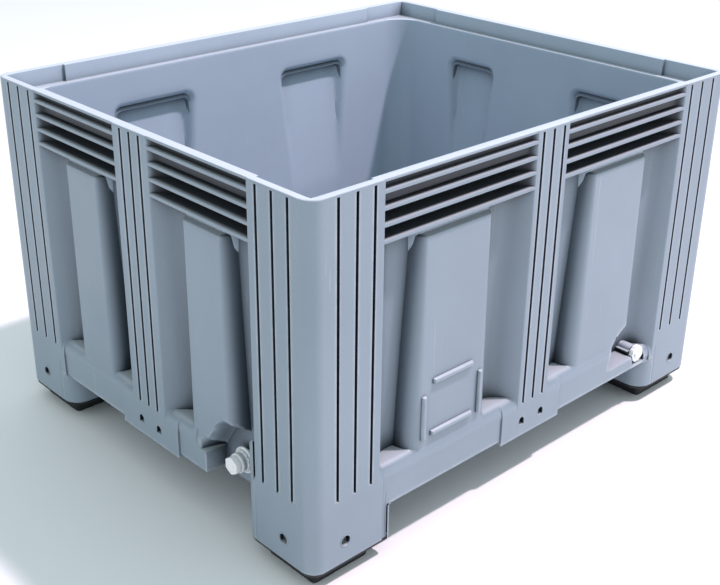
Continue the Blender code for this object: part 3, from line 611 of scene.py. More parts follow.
def tub_rings():
    """(inset at the corners, more inset in mid-side, corner radius, height) from the rim down."""
    rings = [
        (0.0020, 0.0, CORNER_RADIUS - 0.002, TOP),
        (LIP_WIDTH - 0.0020, LIP_EXTRA, 0.004, TOP),
        (LIP_WIDTH - 0.0008, LIP_EXTRA, 0.003, TOP - 0.0005),
        (LIP_WIDTH, LIP_EXTRA, 0.003, TOP - 0.0020),
        (LIP_WIDTH + 0.0003, LIP_EXTRA, 0.003, LEDGE + 0.0020),
        (LIP_WIDTH + 0.0012, LIP_EXTRA, 0.003, LEDGE),
        (BEAD_INSET - 0.0040, 0.0, 0.050, LEDGE),
        (BEAD_INSET - 0.0030, 0.0, 0.054, LEDGE + 0.0018),
        (BEAD_INSET - 0.0018, 0.0, 0.056, LEDGE + 0.0024),
        (BEAD_INSET + 0.0002, 0.0, 0.058, LEDGE + 0.0022),
        (BEAD_INSET + 0.0014, 0.0, INNER_RADIUS, LEDGE + 0.0006),
        (INNER_INSET, 0.0, INNER_RADIUS, LEDGE - 0.0030),
    ]
    top, foot = LEDGE - 0.0060, FLOOR + FLOOR_FILLET
    marks = [top, foot, NICHE_TOP, NICHE_TOP - NICHE_EDGE * 0.97, NICHE_TOP - NICHE_EDGE * 0.9, NICHE_BOTTOM]
    marks += [NICHE_TOP - NICHE_EDGE / 5 * k for k in range(1, 11)]
    for z in lines(marks, 0.018)[::-1]:
        rings.append((INNER_INSET + INNER_DRAFT * (LEDGE - z), 0.0, INNER_RADIUS, z))
    last = INNER_INSET + INNER_DRAFT * (LEDGE - foot)
    for k in range(1, 8):
        angle = k * math.pi / 14
        inset = last + FLOOR_FILLET * (1 - math.cos(angle))
        rings.append((inset, 0.0, INNER_RADIUS, foot - FLOOR_FILLET * math.sin(angle)))
    rings.append((0.200, 0.0, 0.050, FLOOR))
    rings.append((0.420, 0.0, 0.020, FLOOR))
    return rings


def ring_points(ring):
    inset, extra, radius, z = ring
    found = []
    for index in range(4):
        kind = index % 2
        half, straight = HALVES[kind], ring_lines(kind)
        thick = extra * (np.abs(straight) < half - LIP_STEP - 0.006)
        v = inset + thick - niche_depth(index, straight, z) * (z < LEDGE - 0.010)
        middle = place(index, straight, v, np.full_like(straight, z))
        start, bend = straight[-1], half - inset - radius
        run = max(bend - start, 0)
        length = run + radius * math.pi / 4
        corner = []
        for k in range(1, 13):
            along = length * k / 12
            if extra and k == 1:
                along = 0.0008
            turn = max(along - run, 0) / radius
            u = start + min(along, run) + radius * math.sin(turn)
            deep = inset + radius * (1 - math.cos(turn))
            corner.append((u, deep))
        u, v = np.array(corner).T
        found.append(place(index, -u[::-1], v[::-1], np.full_like(u, z)))
        found.append(middle)
        found.append(place(index, u[:-1], v[:-1], np.full_like(u[:-1], z)))
    return np.concatenate(found)


def tub(finish):
    gathered = Faces()
    rings = [ring_points(ring) for ring in tub_rings()]
    count = len(rings[0])
    faces = [(b, a, d, c) for a, b, c, d in ring_faces(len(rings), count)]
    last = (len(rings) - 1) * count
    faces.append(tuple(last + k for k in range(count)))
    gathered.add(np.concatenate(rings), faces)
    return gathered.build("box_tub", finish)


# ---------------------------------------------------------------- feet and underside


def corner_rounds(sign_x, sign_y):
    """Radii of a foot's upright corners: at the end of its long side, and of its short side."""
    return NEAR_ROUND if (sign_x, sign_y) == (-1, -1) else (FOOT_ROUND, FOOT_ROUND)


def foot_path(sign_x, sign_y):
    """The inner faces of a foot from above, from its long outer side round to its short one."""
    long_round, short_round = corner_rounds(sign_x, sign_y)
    radius = FOOT_INNER_ROUND
    x_in, y_in = HALVES[0] - FOOT_SIZE[0], HALVES[1] - FOOT_SIZE[1]
    path = []
    for k in range(8):
        angle = k * math.pi / 14
        along = x_in + long_round * (1 - math.sin(angle))
        path.append((along, HALVES[1] - long_round * (1 - math.cos(angle))))
    path += [(x_in, HALVES[1] - t) for t in (0.06, 0.1)]
    for k in range(13):
        angle = math.pi + k * math.pi / 24
        path.append((x_in + radius * (1 + math.cos(angle)), y_in + radius * (1 + math.sin(angle))))
    path += [(HALVES[0] - t, y_in) for t in (0.1, 0.06)]
    for k in range(8):
        angle = math.pi / 2 - k * math.pi / 14
        along = y_in + short_round * (1 - math.sin(angle))
        path.append((HALVES[0] - short_round * (1 - math.cos(angle)), along))
    return path


def add_foot_faces(gathered):
    """The inner faces of the feet, which lean outwards a little towards the floor."""
    draft = 0.003
    heights = [FOOT_BOTTOM, FOOT_BOTTOM + 0.0015, 0.060, 0.085, SKIRT_BOTTOM]
    for sign_x in (-1, 1):
        for sign_y in (-1, 1):
            path = foot_path(sign_x, sign_y)
            rows = []
            for z in heights:
                lean = draft * (SKIRT_BOTTOM - z) / 0.1
                row = []
                for x, y in path:
                    off_x = lean * min(1, (HALVES[0] - x) / 0.1) * min(1, (HALVES[1] - y) / 0.03)
                    off_y = lean * min(1, (HALVES[1] - y) / 0.1) * min(1, (HALVES[0] - x) / 0.03)
                    row.append((sign_x * (x + off_x), sign_y * (y + off_y), z))
                rows.append(row)
            faces = grid_faces(len(heights), len(path))
            if sign_x * sign_y > 0:
                faces = [face[::-1] for face in faces]
            gathered.add(np.array(rows), faces)
            caps = [(sign_x * x, sign_y * y, SKIRT_BOTTOM) for x, y in path]
            corner = (sign_x * (HALVES[0] - FOOT_SIZE[0]), sign_y * (HALVES[1] - 0.001), SKIRT_BOTTOM)
            other = (sign_x * (HALVES[0] - 0.001), sign_y * (HALVES[1] - FOOT_SIZE[1]), SKIRT_BOTTOM)
            ends = ((corner, caps[:8]), (other, caps[-8:]))
            for tip, part in ends[:1] if (sign_x, sign_y) == (-1, -1) else ends:
                gathered.add(np.array([tip, *part]), [(0, k, k + 1) for k in range(1, len(part))])
    add_notch_side(gathered)


def add_notch_side(gathered):
    """The rounded side of the capped outlet's notch, over the foot beside it."""
    angles = np.arange(8) * math.pi / 14
    u = NOTCH_SPAN[1] - NEAR_ROUND[1] * np.sin(angles)
    v = NEAR_ROUND[1] * (1 - np.cos(angles))
    u, v = np.append(u, u[-1]), np.append(v, TANK_DEPTH)
    uu, share = np.meshgrid(u, np.linspace(0, 1, 4))
    zz = SKIRT_BOTTOM + (notch_ceiling(uu) - SKIRT_BOTTOM) * share
    gathered.add(place(3, uu, np.broadcast_to(v, uu.shape), zz), grid_faces(*uu.shape))


def underside(finish):
    """The floor from below, with its webs, and the inner faces of the feet."""
    gathered = Faces()
    x_end, y_end = HALVES[0] - TANK_DEPTH, HALVES[1] - TANK_DEPTH
    u = np.linspace(-x_end, x_end, 30)
    v = np.linspace(-y_end, y_end, 26)
    uu, vv = np.meshgrid(u, v)
    points = np.stack([uu, vv, np.full_like(uu, DECK)], axis=-1)
    gathered.add(points, [face[::-1] for face in grid_faces(*uu.shape)])
    add_foot_faces(gathered)
    piece = gathered.build("box_underside", finish)
    work = bmesh.new()
    work.from_mesh(piece.data)
    reach_x, reach_y = (half - 0.052 for half in HALVES)
    for number in range(WEBS[0]):
        x = (number - WEBS[0] // 2) * WEB_PITCH
        add_bar(work, (x, -reach_y), (x, reach_y))
    for number in range(WEBS[1]):
        y = (number - WEBS[1] // 2) * WEB_PITCH
        add_bar(work, (-reach_x, y), (reach_x, y))
    work.to_mesh(piece.data)
    work.free()
    return piece


def add_bar(work, start, end):
    """A web under the floor, between two places, with a rounded lower edge."""
    start, end = (Vector((*place_at, (DECK + WEB_BOTTOM) / 2)) for place_at in (start, end))
    along = (end - start).normalized()
    across = Vector((-along.y, along.x, 0)) * WEB_WIDTH / 2
    up = Vector((0, 0, (DECK - WEB_BOTTOM) / 2))
    profile = [across + up, across * 0.9 - up * 0.75, across * 0.5 - up, -across * 0.5 - up]
    profile += [-across * 0.9 - up * 0.75, -across + up]
    ends = [[work.verts.new(point + off) for off in profile] for point in (start, end)]
    for k in range(len(profile) - 1):
        work.faces.new((ends[0][k], ends[0][k + 1], ends[1][k + 1], ends[1][k]))
    work.faces.new(ends[0][::-1])
    work.faces.new(ends[1])


# ---------------------------------------------------------------- raised marks


def ridge(name, index, path, width, height, base, finish, taper=0.7):
    """A raised bar with bevelled sides and ends, along a line of (u, z) points on a side."""
    work = bmesh.new()
    for (u0, z0), (u1, z1) in zip(path, path[1:]):
        along = np.array([u1 - u0, z1 - z0])
        length = np.hypot(*along)
        along = along / length
        across = np.array([-along[1], along[0]])
        levels = ((1.0, -0.002), (1.0, height * 0.45), (taper, height * 0.9), (taper * 0.75, height))
        rings = []
        for share, rise in levels:
            half, shrink = width / 2 * share, width / 2 * (1 - share)
            ring = []
            for end, side in ((0, -1), (1, -1), (1, 1), (0, 1)):
                centre = np.array([u0, z0]) if end == 0 else np.array([u1, z1])
                point = centre + along * shrink * (1 if end == 0 else -1) + across * side * half
                x, y, z = place(index, point[0], base - rise, point[1])
                ring.append(work.verts.new((x, y, z)))
            rings.append(ring)
        for low, high in zip(rings, rings[1:]):
            for k in range(4):
                work.faces.new((low[k], low[(k + 1) % 4], high[(k + 1) % 4], high[k]))
        work.faces.new(rings[-1])
    bmesh.ops.recalc_face_normals(work, faces=work.faces)
    mesh = bpy.data.meshes.new(name)
    work.to_mesh(mesh)
    work.free()
    piece = new_piece(name, mesh, finish, 30)
    bevel = piece.modifiers.new("edge", "BEVEL")
    bevel.width = width * 0.10
    bevel.segments = 2
    bevel.limit_method = "ANGLE"
    return piece


# ---------------------------------------------------------------- turned pieces


def turned(name, rows, finish, index, u, z, count=96):
    """A piece turned about an axis that runs inwards from a side.

    A row is (depth behind the outer plane, radius or a function from angle to radius).
    """
    angles = np.arange(count) * 2 * math.pi / count
    rings = []
    for depth, radius in rows:
        reach = np.array([radius(a) for a in angles]) if callable(radius) else np.full(count, radius)
        across, up = reach * np.cos(angles), reach * np.sin(angles)
        rings.append(place(index, u + across, np.full(count, depth), z + up))
    gathered = Faces()
    gathered.add(np.concatenate(rings), ring_faces(len(rings), count))
    piece = gathered.build(name, finish, 32, 1e-6)
    work = bmesh.new()
    work.from_mesh(piece.data)
    bmesh.ops.recalc_face_normals(work, faces=work.faces)
    work.to_mesh(piece.data)
    work.free()
    return piece


def hexagon(radius):
    """Radius at an angle on a six-sided outline whose corners are rounded off."""

    def outline(angle):
        off = (angle + math.pi / 6) % (math.pi / 3) - math.pi / 6
        return min(radius * math.cos(math.pi / 6) / math.cos(off), radius * 0.95)

    return outline


def lobed(radius, lobes, depth):
    return lambda angle: radius - depth * (0.5 - 0.5 * math.cos(lobes * angle)) ** 3


def edge_rows(start, end, radius, round_edge=0.0008):
    """Rows of a cylinder's outside with both edges rounded."""
    scale = (lambda k: (lambda a: radius(a) * k)) if callable(radius) else (lambda k: radius * k)
    return [
        (start, scale(1 - round_edge / 0.02)),
        (start + round_edge * 0.3, scale(1 - round_edge * 0.3 / 0.02)),
        (start + round_edge, scale(1.0)),
        (end - round_edge, scale(1.0)),
        (end - round_edge * 0.3, scale(1 - round_edge * 0.3 / 0.02)),
        (end, scale(1 - round_edge / 0.02)),
    ]


# ---------------------------------------------------------------- materials


class Nodes:
    """Short names for building a node tree."""

    def __init__(self, name):
        self.material = bpy.data.materials.new(name)
        self.material.use_nodes = True
        self.tree = self.material.node_tree
        self.shader = self.tree.nodes["Principled BSDF"]

    def add(self, kind, **settings):
        node = self.tree.nodes.new(kind)
        for key, value in settings.items():
            setattr(node, key, value)
        return node

    def link(self, source, target):
        self.tree.links.new(source, target)

    def coordinates(self, scale=(1.0, 1.0, 1.0), turn=(0.0, 0.0, 0.0)):
        place_in = self.add("ShaderNodeTexCoord").outputs["Object"]
        mapping = self.add("ShaderNodeMapping")
        mapping.inputs["Scale"].default_value = scale
        mapping.inputs["Rotation"].default_value = turn
        self.link(place_in, mapping.inputs["Vector"])
        return mapping.outputs["Vector"]

    def noise(self, scale, detail=3.0, vector=None, roughness=0.55):
        node = self.add("ShaderNodeTexNoise")
        node.inputs["Scale"].default_value = scale
        node.inputs["Detail"].default_value = detail
        node.inputs["Roughness"].default_value = roughness
        self.link(vector or self.coordinates(), node.inputs["Vector"])
        return node.outputs["Fac"]

    def ramp(self, value, stops):
        node = self.add("ShaderNodeValToRGB")
        ramp_stops = node.color_ramp.elements
        while len(ramp_stops) < len(stops):
            ramp_stops.new(0.5)
        for stop, (position, colour) in zip(ramp_stops, stops):
            stop.position = position
            stop.color = (*colour, 1.0) if len(colour) == 3 else colour
        self.link(value, node.inputs["Fac"])
        return node.outputs["Color"]

    def grey(self, value, low, high, dark=0.0, light=1.0):
        return self.ramp(value, [(low, (dark,) * 3), (high, (light,) * 3)])

    def maths(self, operation, first, second):
        node = self.add("ShaderNodeMath", operation=operation)
        for socket, value in zip(node.inputs, (first, second)):
            if isinstance(value, (int, float)):
                socket.default_value = value
            else:
                self.link(value, socket)
        return node.outputs["Value"]

    def mix(self, share, first, second, blend="MIX"):
        node = self.add("ShaderNodeMix", data_type="RGBA", blend_type=blend)
        for socket, value in ((node.inputs[0], share), (node.inputs[6], first), (node.inputs[7], second)):
            if isinstance(value, (int, float)):
                socket.default_value = value
            elif isinstance(value, tuple):
                socket.default_value = (*value, 1.0)
            else:
                self.link(value, socket)
        return node.outputs[2]

    def bump(self, height, strength, distance, normal=None):
        node = self.add("ShaderNodeBump")
        node.inputs["Strength"].default_value = strength
        node.inputs["Distance"].default_value = distance
        self.link(height, node.inputs["Height"])
        if normal is not None:
            self.link(normal, node.inputs["Normal"])
        return node.outputs["Normal"]

    def set(self, name, value):
        socket = self.shader.inputs[name]
        if isinstance(value, (int, float)):
            socket.default_value = value
        else:
            self.link(value, socket)


def scaled(colour, factor):
    return tuple(min(1, channel * factor) for channel in colour)


# Where the painted shade of a hollow starts, is half done and ends, as shares of open surroundings
OPEN_HOLLOWS = (0.20, 0.54, 0.88)
CLOSED_HOLLOWS = (0.38, 0.62, 0.88)
# Colour of the painted shadow behind the louvre ribs
LOUVRE_SHADOW_COLOUR = (0.012, 0.015, 0.022)


def moulded_plastic(
    name,
    colour,
    worn_and_lit,
    roughness,
    wear_and_light=1.0,
    hollows=0.045,
    hollow_dark=0.07,
    wide_dark=1.0,
    shading=OPEN_HOLLOWS,
):
    """Satin moulded plastic with flow marks, fine orange peel and scuffs; convex edges lightened as rub wear
    and partly as a painted highlight, painted shade in hollows, painted top light on up-facing faces, and
    for closed hollows a painted shadow behind the louvre ribs.
    """
    n = Nodes(name)
    cloud = n.noise(2.2, 4.0)
    flow = n.noise(7.0, 5.0, n.coordinates((1.0, 1.0, 0.18)))
    speck = n.noise(900.0, 2.0)
    tone = n.mix(n.grey(cloud, 0.35, 0.68), scaled(colour, 0.94), scaled(colour, 1.05))
    tone = n.mix(n.maths("MULTIPLY", n.grey(flow, 0.45, 0.75), 0.35 * wear_and_light), tone, scaled(colour, 1.10))
    tone = n.mix(n.maths("MULTIPLY", n.grey(speck, 0.58, 0.75), 0.18 * wear_and_light), tone, worn_and_lit)
    tone = n.mix(n.maths("MULTIPLY", n.grey(speck, 0.42, 0.28), 0.15 * wear_and_light), tone, scaled(colour, 0.7))
    scratch_lines = []
    for turn, scale, low, high in (
        ((0.4, 0.9, 0.7), (210.0, 210.0, 5.0), 0.725, 0.76),
        ((1.1, -0.5, 0.3), (300.0, 300.0, 9.0), 0.735, 0.775),
        ((0.1, 0.2, 1.3), (160.0, 160.0, 4.0), 0.73, 0.765),
    ):
        fine = n.noise(1.0, 1.0, n.coordinates(scale, turn))
        patch = n.grey(n.noise(6.5, 2.0, n.coordinates((1.0, 1.0, 1.0), turn)), 0.52, 0.66)
        scratch_lines.append(n.maths("MULTIPLY", n.grey(fine, low, high), patch))
    scratch = n.maths("MAXIMUM", n.maths("MAXIMUM", scratch_lines[0], scratch_lines[1]), scratch_lines[2])
    tone = n.mix(n.maths("MULTIPLY", scratch, 0.22 * wear_and_light), tone, worn_and_lit)
    # Convex edges lightened towards the worn colour: rub wear, and partly a painted edge highlight
    point = n.add("ShaderNodeNewGeometry").outputs["Pointiness"]
    rub_and_highlight = n.maths("MULTIPLY", n.grey(point, 0.515, 0.60), n.grey(n.noise(40.0, 3.0), 0.30, 0.62, 0.35, 1.0))
    tone = n.mix(n.maths("MULTIPLY", rub_and_highlight, 0.55 * wear_and_light), tone, worn_and_lit)
    # Painted shade: the colour is darkened where the surroundings close in, in hollows, creases and gaps
    hollow = n.add("ShaderNodeAmbientOcclusion", samples=6)
    hollow.inputs["Distance"].default_value = hollows
    deep = tuple(hollow_dark * share for share in (0.80, 0.95, 1.15))
    half_deep = tuple(0.42 + 0.5 * hollow_dark * share for share in (0.80, 1.0, 1.2))
    shade = n.ramp(hollow.outputs["AO"], list(zip(shading, (deep, half_deep, (1.0, 1.0, 1.0)))))
    tone = n.mix(1.0, tone, shade, "MULTIPLY")
    # A second painted shade, over a wider reach, darkens the deep flutes
    if wide_dark < 1:
        wide = n.add("ShaderNodeAmbientOcclusion", samples=6)
        wide.inputs["Distance"].default_value = 0.12
        wide.only_local = True
        low = tuple(wide_dark * share for share in (0.85, 1.0, 1.15))
        middle = tuple(0.42 + 0.45 * value for value in low)
        shade = n.ramp(wide.outputs["AO"], [(0.28, low), (0.58, middle), (0.92, (1.0, 1.0, 1.0))])
        tone = n.mix(1.0, tone, shade, "MULTIPLY")
    # Painted top light, partly sun fading: faces that look up are lightened towards the worn colour
    tone = n.mix(n.maths("MULTIPLY", lit_and_faded_tops(n), 0.55 * wear_and_light), tone, worn_and_lit)
    # Painted shadow in the recess behind the louvre ribs
    if shading is CLOSED_HOLLOWS:
        tone = n.mix(n.maths("MULTIPLY", painted_louvre_shadow(n), 0.90), tone, LOUVRE_SHADOW_COLOUR)
    n.set("Base Color", tone)
    rough = n.maths("ADD", n.maths("MULTIPLY", n.noise(14.0, 4.0), 0.16), roughness - 0.08)
    rough = n.maths("ADD", rough, n.maths("MULTIPLY", scratch, 0.15))
    n.set("Roughness", rough)
    peel = n.bump(n.noise(420.0, 2.0), 0.22, 0.0004)
    sink = n.bump(n.noise(9.0, 2.0), 0.25, 0.0030, peel)
    n.set("Normal", n.bump(scratch, 0.3, 0.0002, sink))
    n.set("Specular IOR Level", 0.45)
    return n.material


def painted_louvre_shadow(n):
    """1 in the recess behind the louvre ribs, where shadow is painted into the colour, and 0 elsewhere."""
    parts = n.add("ShaderNodeSeparateXYZ")
    n.link(n.coordinates(), parts.inputs["Vector"])
    behind = []
    for axis, half in zip("XY", HALVES):
        behind.append(n.maths("SUBTRACT", half, n.maths("ABSOLUTE", parts.outputs[axis], 0.0)))
    low = RIB_TOP - (RIB_COUNT - 1) * RIB_PITCH - RIB_HALF
    above = n.grey(parts.outputs["Z"], low - 0.010, low)
    below = n.grey(parts.outputs["Z"], BAND_BOTTOM - 0.002, BAND_BOTTOM, 1.0, 0.0)
    recess = n.grey(n.maths("MINIMUM", *behind), 0.0030, 0.0100)
    off_corner = n.grey(n.maths("MAXIMUM", *behind), 0.145, 0.150)
    recess = n.maths("MULTIPLY", recess, off_corner)
    return n.maths("MULTIPLY", recess, n.maths("MULTIPLY", above, below))


def lit_and_faded_tops(n):
    """1 on faces that look straight up, which get painted top light and partly sun fading, and 0 on the
    others.
    """
    parts = n.add("ShaderNodeSeparateXYZ")
    n.link(n.add("ShaderNodeNewGeometry").outputs["Normal"], parts.inputs["Vector"])
    return n.grey(parts.outputs["Z"], 0.62, 0.985)


def plain_rubber(name, colour, roughness):
    n = Nodes(name)
    grain = n.noise(600.0, 3.0)
    dust = n.grey(n.noise(22.0, 5.0), 0.50, 0.78)
    tone = n.mix(n.maths("MULTIPLY", dust, 0.45), colour, tuple(min(1, c * 3 + 0.02) for c in colour))
    n.set("Base Color", tone)
    n.set("Roughness", n.maths("ADD", n.maths("MULTIPLY", grain, 0.2), roughness - 0.1))
    n.set("Normal", n.bump(grain, 0.35, 0.0004))
    return n.material


def screw_metal(name):
    n = Nodes(name)
    brushed = n.noise(60.0, 4.0, n.coordinates((1.0, 1.0, 30.0)))
    rust = n.grey(n.noise(300.0, 4.0), 0.55, 0.70)
    tone = n.mix(n.maths("MULTIPLY", rust, 0.4), (0.09, 0.09, 0.10), (0.05, 0.035, 0.03))
    n.set("Base Color", tone)
    n.set("Metallic", 0.6)
    n.set("Roughness", n.maths("ADD", n.maths("MULTIPLY", brushed, 0.3), 0.35))
    n.set("Normal", n.bump(brushed, 0.2, 0.0001))
    return n.material


BOX_COLOUR = (0.270, 0.330, 0.390)
# Worn colour, also used for the painted edge highlight and the painted top light
BOX_WORN_AND_LIT = (0.70, 0.75, 0.80)

BOX = moulded_plastic("box_plastic_look", BOX_COLOUR, BOX_WORN_AND_LIT, 0.40, wide_dark=0.24, shading=CLOSED_HOLLOWS)
# The tub's inside: a lighter copy of the box's plastic, painted light, for the plastic is one throughout
INSIDE_PAINTED_LIGHT = moulded_plastic("box_inside_painted_light_look", (0.400, 0.485, 0.575), (0.72, 0.77, 0.82), 0.42, 0.8)
WHITE = moulded_plastic("fitting_look", (0.95, 0.95, 0.94), (0.98, 0.98, 0.98), 0.38, 0.6, 0.010, 0.50)
BLACK = moulded_plastic("pad_look", (0.010, 0.011, 0.013), (0.05, 0.05, 0.055), 0.55, 0.8, 0.03, 0.5)
RUBBER = plain_rubber("seal_look", (0.025, 0.025, 0.026), 0.75)
STEEL = screw_metal("screw_look")


# ---------------------------------------------------------------- the pieces


def settle(piece, body, slot, *nodes):
    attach(piece, body)
    if nodes:
        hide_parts(*nodes)
    return piece


def make_box():
    gathered = Faces()
    for index in range(4):
        add_side(gathered, index)
    add_tank_walls(gathered)
    skin = gathered.build("box_skin", BOX)
    settle(skin, "box", "box_plastic", "box_body")
    settle(tub(INSIDE_PAINTED_LIGHT), "box", "box_plastic")
    settle(underside(BOX), "box", "box_plastic")
    bars = {
        "label_bar_top": [(LABEL_U - 0.054, 0.330), (LABEL_U + 0.054, 0.330)],
        "label_bar_bottom": [(LABEL_U - 0.057, 0.219), (LABEL_U + 0.057, 0.219)],
        "label_bar_left": [(LABEL_U - 0.077, 0.212), (LABEL_U - 0.077, 0.306)],
        "label_bar_right": [(LABEL_U + 0.077, 0.212), (LABEL_U + 0.077, 0.306)],
    }
    for name, path in bars.items():
        settle(ridge(name, 0, path, 0.0110, 0.0080, PANEL_DEPTH, BOX, 0.62), "box", "box_plastic")
    line = ridge("panel_line", 0, [(0.176, 0.2845), (0.312, 0.2875)], 0.0014, 0.0008, PANEL_DEPTH, BOX)
    settle(line, "box", "box_plastic")


def pad_outline(sign_x, sign_y, outer, inner, steps=8):
    """The outline of a foot, drawn in from its outer and its inner sides."""
    long_round, short_round = corner_rounds(sign_x, sign_y)
    high = (HALVES[0] - outer, HALVES[1] - outer)
    low = (HALVES[0] - FOOT_SIZE[0] + inner, HALVES[1] - FOOT_SIZE[1] + inner)
    corners = (
        (high[0], high[1], max(CORNER_RADIUS - outer, 0.008)),
        (low[0], high[1], max(long_round - (outer + inner) / 2, 0.008)),
        (low[0], low[1], max(FOOT_INNER_ROUND - inner, 0.008)),
        (high[0], low[1], max(short_round - (outer + inner) / 2, 0.008)),
    )
    points = []
    for k, (x, y, radius) in enumerate(corners):
        centre = (x - radius if x == high[0] else x + radius, y - radius if y == high[1] else y + radius)
        for step in range(steps + 1):
            angle = math.pi / 2 * (k + step / steps)
            point = (centre[0] + radius * math.cos(angle), centre[1] + radius * math.sin(angle))
            points.append((sign_x * point[0], sign_y * point[1]))
    return points


def make_pad(x_name, y_name, sign_x, sign_y):
    """A pad: a base with rounded edges, under a thin rim that follows the foot."""
    name = f"foot_pad_{y_name}_{x_name}"
    gathered = Faces()
    top = FOOT_BOTTOM - 0.0004
    levels = [
        (0.0450, 0.0550, 0.0000),
        (0.0275, 0.0375, 0.0000),
        (0.0250, 0.0350, 0.0026),
        (0.0235, 0.0335, top - 0.0098),
        (0.0210, 0.0310, top - 0.0074),
        (0.0040, 0.0040, top - 0.0068),
        (0.0018, 0.0018, top - 0.0061),
        (0.0012, 0.0012, top - 0.0018),
        (0.0022, 0.0022, top - 0.0003),
        (0.0160, 0.0160, top),
    ]
    rings = [[(x, y, z) for x, y in pad_outline(sign_x, sign_y, outer, inner)] for outer, inner, z in levels]
    count = len(rings[0])
    faces = ring_faces(len(rings), count)
    faces.append(tuple(range(count))[::-1])
    last = (len(rings) - 1) * count
    faces.append(tuple(last + k for k in range(count)))
    gathered.add(np.array(rings), faces)
    settle(gathered.build(name + "_look", BLACK), "box", "pad_plastic", name)


def make_screw(name, index, u):
    """A pan-head screw with a cross recess, sunk in its hole."""
    face = 0.0035

    def recess(radius):
        return lambda a: radius * (1 - 0.45 * abs(math.sin(2 * a)) ** 0.5)

    rows = [
        (0.0085, 0.0055),
        (face + 0.0022, 0.0055),
        (face + 0.0012, 0.0052),
        (face + 0.0004, 0.0044),
        (face, 0.0034),
        (face, recess(0.0030)),
        (face + 0.0020, recess(0.0022)),
        (face + 0.0026, 0.0),
    ]
    piece = turned(name + "_look", rows, STEEL, index, u, SCREW_Z, 48)
    settle(piece, "box", "screw_steel", name)


def make_capped_outlet():
    u, z = CAPPED_U, CAPPED_Z
    turn_of_thread = ((0.0, 0.0139), (0.0010, 0.0150), (0.0018, 0.0150), (0.0028, 0.0139))
    bead = []
    for k in range(9):
        start = 0.0076 + k * 0.0032
        bead += [(start + along, out) for along, out in turn_of_thread]
    rows = [(0.0075, 0.0115), *bead, (0.0376, 0.0150), (0.0574, 0.0150)]
    rows += [(0.0576, 0.0262), (0.0582, 0.0270), (0.0610, 0.0270), (0.0618, 0.0262)]
    rows += [(0.0618, 0.0115), (0.0075, 0.0115)]
    settle(turned("outlet_spigot_look", rows, WHITE, 3, u, z), "box", "fitting_plastic", "outlet_spigot")
    nut = [(0.0270, 0.0156), *edge_rows(0.0270, 0.0320, lobed(0.0225, 12, 0.0020))]
    nut += [(0.0322, 0.0245), *edge_rows(0.0324, 0.0374, 0.0268), (0.0374, 0.0156), (0.0270, 0.0156)]
    settle(turned("outlet_locknut_look", nut, WHITE, 3, u, z), "box", "fitting_plastic", "outlet_locknut")
    cap = [(0.0026, 0.0), (0.0026, 0.0100), (0.0022, 0.0112), (0.0012, 0.0120), (0.0010, 0.0140)]
    cap += edge_rows(0.0012, 0.0150, hexagon(0.0190))
    cap += [(0.0152, 0.0186), *edge_rows(0.0154, 0.0200, 0.0198)]
    cap += [(0.0200, 0.0154), (0.0042, 0.0154), (0.0042, 0.0)]
    settle(turned("outlet_cap_look", cap, WHITE, 3, u, z), "cap", "fitting_plastic", "outlet_cap")


def make_plugged_drain():
    u, z = PLUGGED_U, PLUGGED_Z
    tube = [(0.0520, 0.0200), (0.0490, 0.0178), (0.0460, 0.0166), (0.0206, 0.0163), (0.0196, 0.0158)]
    tube += [(0.0192, 0.0150), (0.0192, 0.0130), (0.0200, 0.0125), (0.0500, 0.0125)]
    settle(turned("drain_tube", tube, BOX, 0, u, z), "box", "box_plastic")

    def lug(radius):
        return lambda a: min(radius, 0.0042 / max(abs(math.sin(a)), 1e-3)) if radius < 0.0135 else radius

    head = [(0.0008, 0.0), (0.0008, lug(0.0128)), (0.0014, lug(0.0132)), (0.0050, lug(0.0133))]
    head += [(0.0050, 0.0150), (0.0048, 0.0178), *edge_rows(0.0050, 0.0160, lobed(0.0199, 10, 0.0012))]
    head += [(0.0162, 0.0118), (0.0330, 0.0114), (0.0340, 0.0104), (0.0340, 0.0)]
    settle(turned("drain_plug_look", head, WHITE, 0, u, z), "plug", "fitting_plastic", "drain_plug")


def finish_kept_nodes():
    for name in ("outlet_gasket", "outlet_cap_seal", "drain_plug_seal"):
        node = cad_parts[name]
        node.data.materials.clear()
        node.data.materials.append(RUBBER)


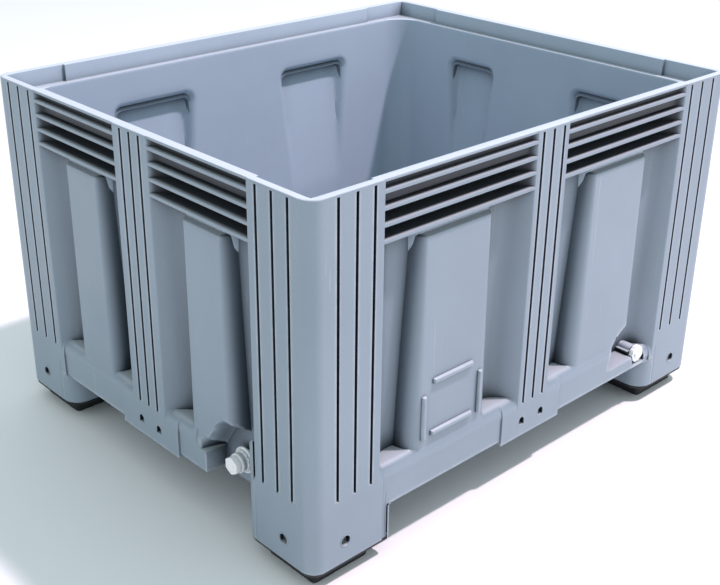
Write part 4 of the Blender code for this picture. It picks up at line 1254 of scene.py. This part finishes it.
def make_pieces():
    make_box()
    for x_name, sign_x in (("left", -1), ("right", 1)):
        for y_name, sign_y in (("front", -1), ("rear", 1)):
            make_pad(x_name, y_name, sign_x, sign_y)
    names = ("front", "right", "rear", "left")
    ends = (("left", "right"), ("front", "rear"), ("right", "left"), ("rear", "front"))
    for index, (first, second) in enumerate(ends):
        reach = HALVES[index % 2] - SCREW_INSET
        make_screw(f"foot_screw_{names[index]}_{first}", index, -reach)
        make_screw(f"foot_screw_{names[index]}_{second}", index, reach)
    make_capped_outlet()
    make_plugged_drain()
    finish_kept_nodes()


# ---------------------------------------------------------------- floor, light and camera


def make_floor():
    work = bmesh.new()
    bmesh.ops.create_grid(work, x_segments=1, y_segments=1, size=14.0)
    mesh = bpy.data.meshes.new("studio_floor")
    work.to_mesh(mesh)
    work.free()
    n = Nodes("floor_look")
    n.set("Base Color", n.mix(n.noise(0.8, 2.0), (0.90, 0.90, 0.90), (0.93, 0.93, 0.93)))
    n.set("Roughness", 0.9)
    n.set("Specular IOR Level", 0.1)
    mesh.materials.append(n.material)
    floor = bpy.data.objects.new("studio_floor", mesh)
    bpy.context.scene.collection.objects.link(floor)


def make_lights():
    world = bpy.data.worlds.new("studio")
    world.use_nodes = True
    background = world.node_tree.nodes["Background"]
    background.inputs["Color"].default_value = SKY_COLOUR
    background.inputs["Strength"].default_value = SKY_STRENGTH
    bpy.context.scene.world = world
    data = bpy.data.lights.new("key", "AREA")
    data.shape = "RECTANGLE"
    data.size = data.size_y = KEY_SIZE
    data.energy = KEY_POWER
    data.color = KEY_COLOUR
    light = bpy.data.objects.new("key", data)
    light.location = KEY_PLACE
    light.rotation_euler = (Vector(KEY_TARGET) - Vector(KEY_PLACE)).to_track_quat("-Z", "Y").to_euler()
    bpy.context.scene.collection.objects.link(light)


def make_camera():
    data = bpy.data.cameras.new("camera")
    data.lens = LENS
    data.sensor_width = 36.0
    camera = bpy.data.objects.new("camera", data)
    camera.location = CAMERA_PLACE
    camera.rotation_euler = tuple(math.radians(angle) for angle in CAMERA_TURN)
    bpy.context.scene.collection.objects.link(camera)
    bpy.context.scene.camera = camera


make_pieces()
make_floor()
make_lights()
make_camera()
bpy.context.scene.view_settings.view_transform = "Standard"
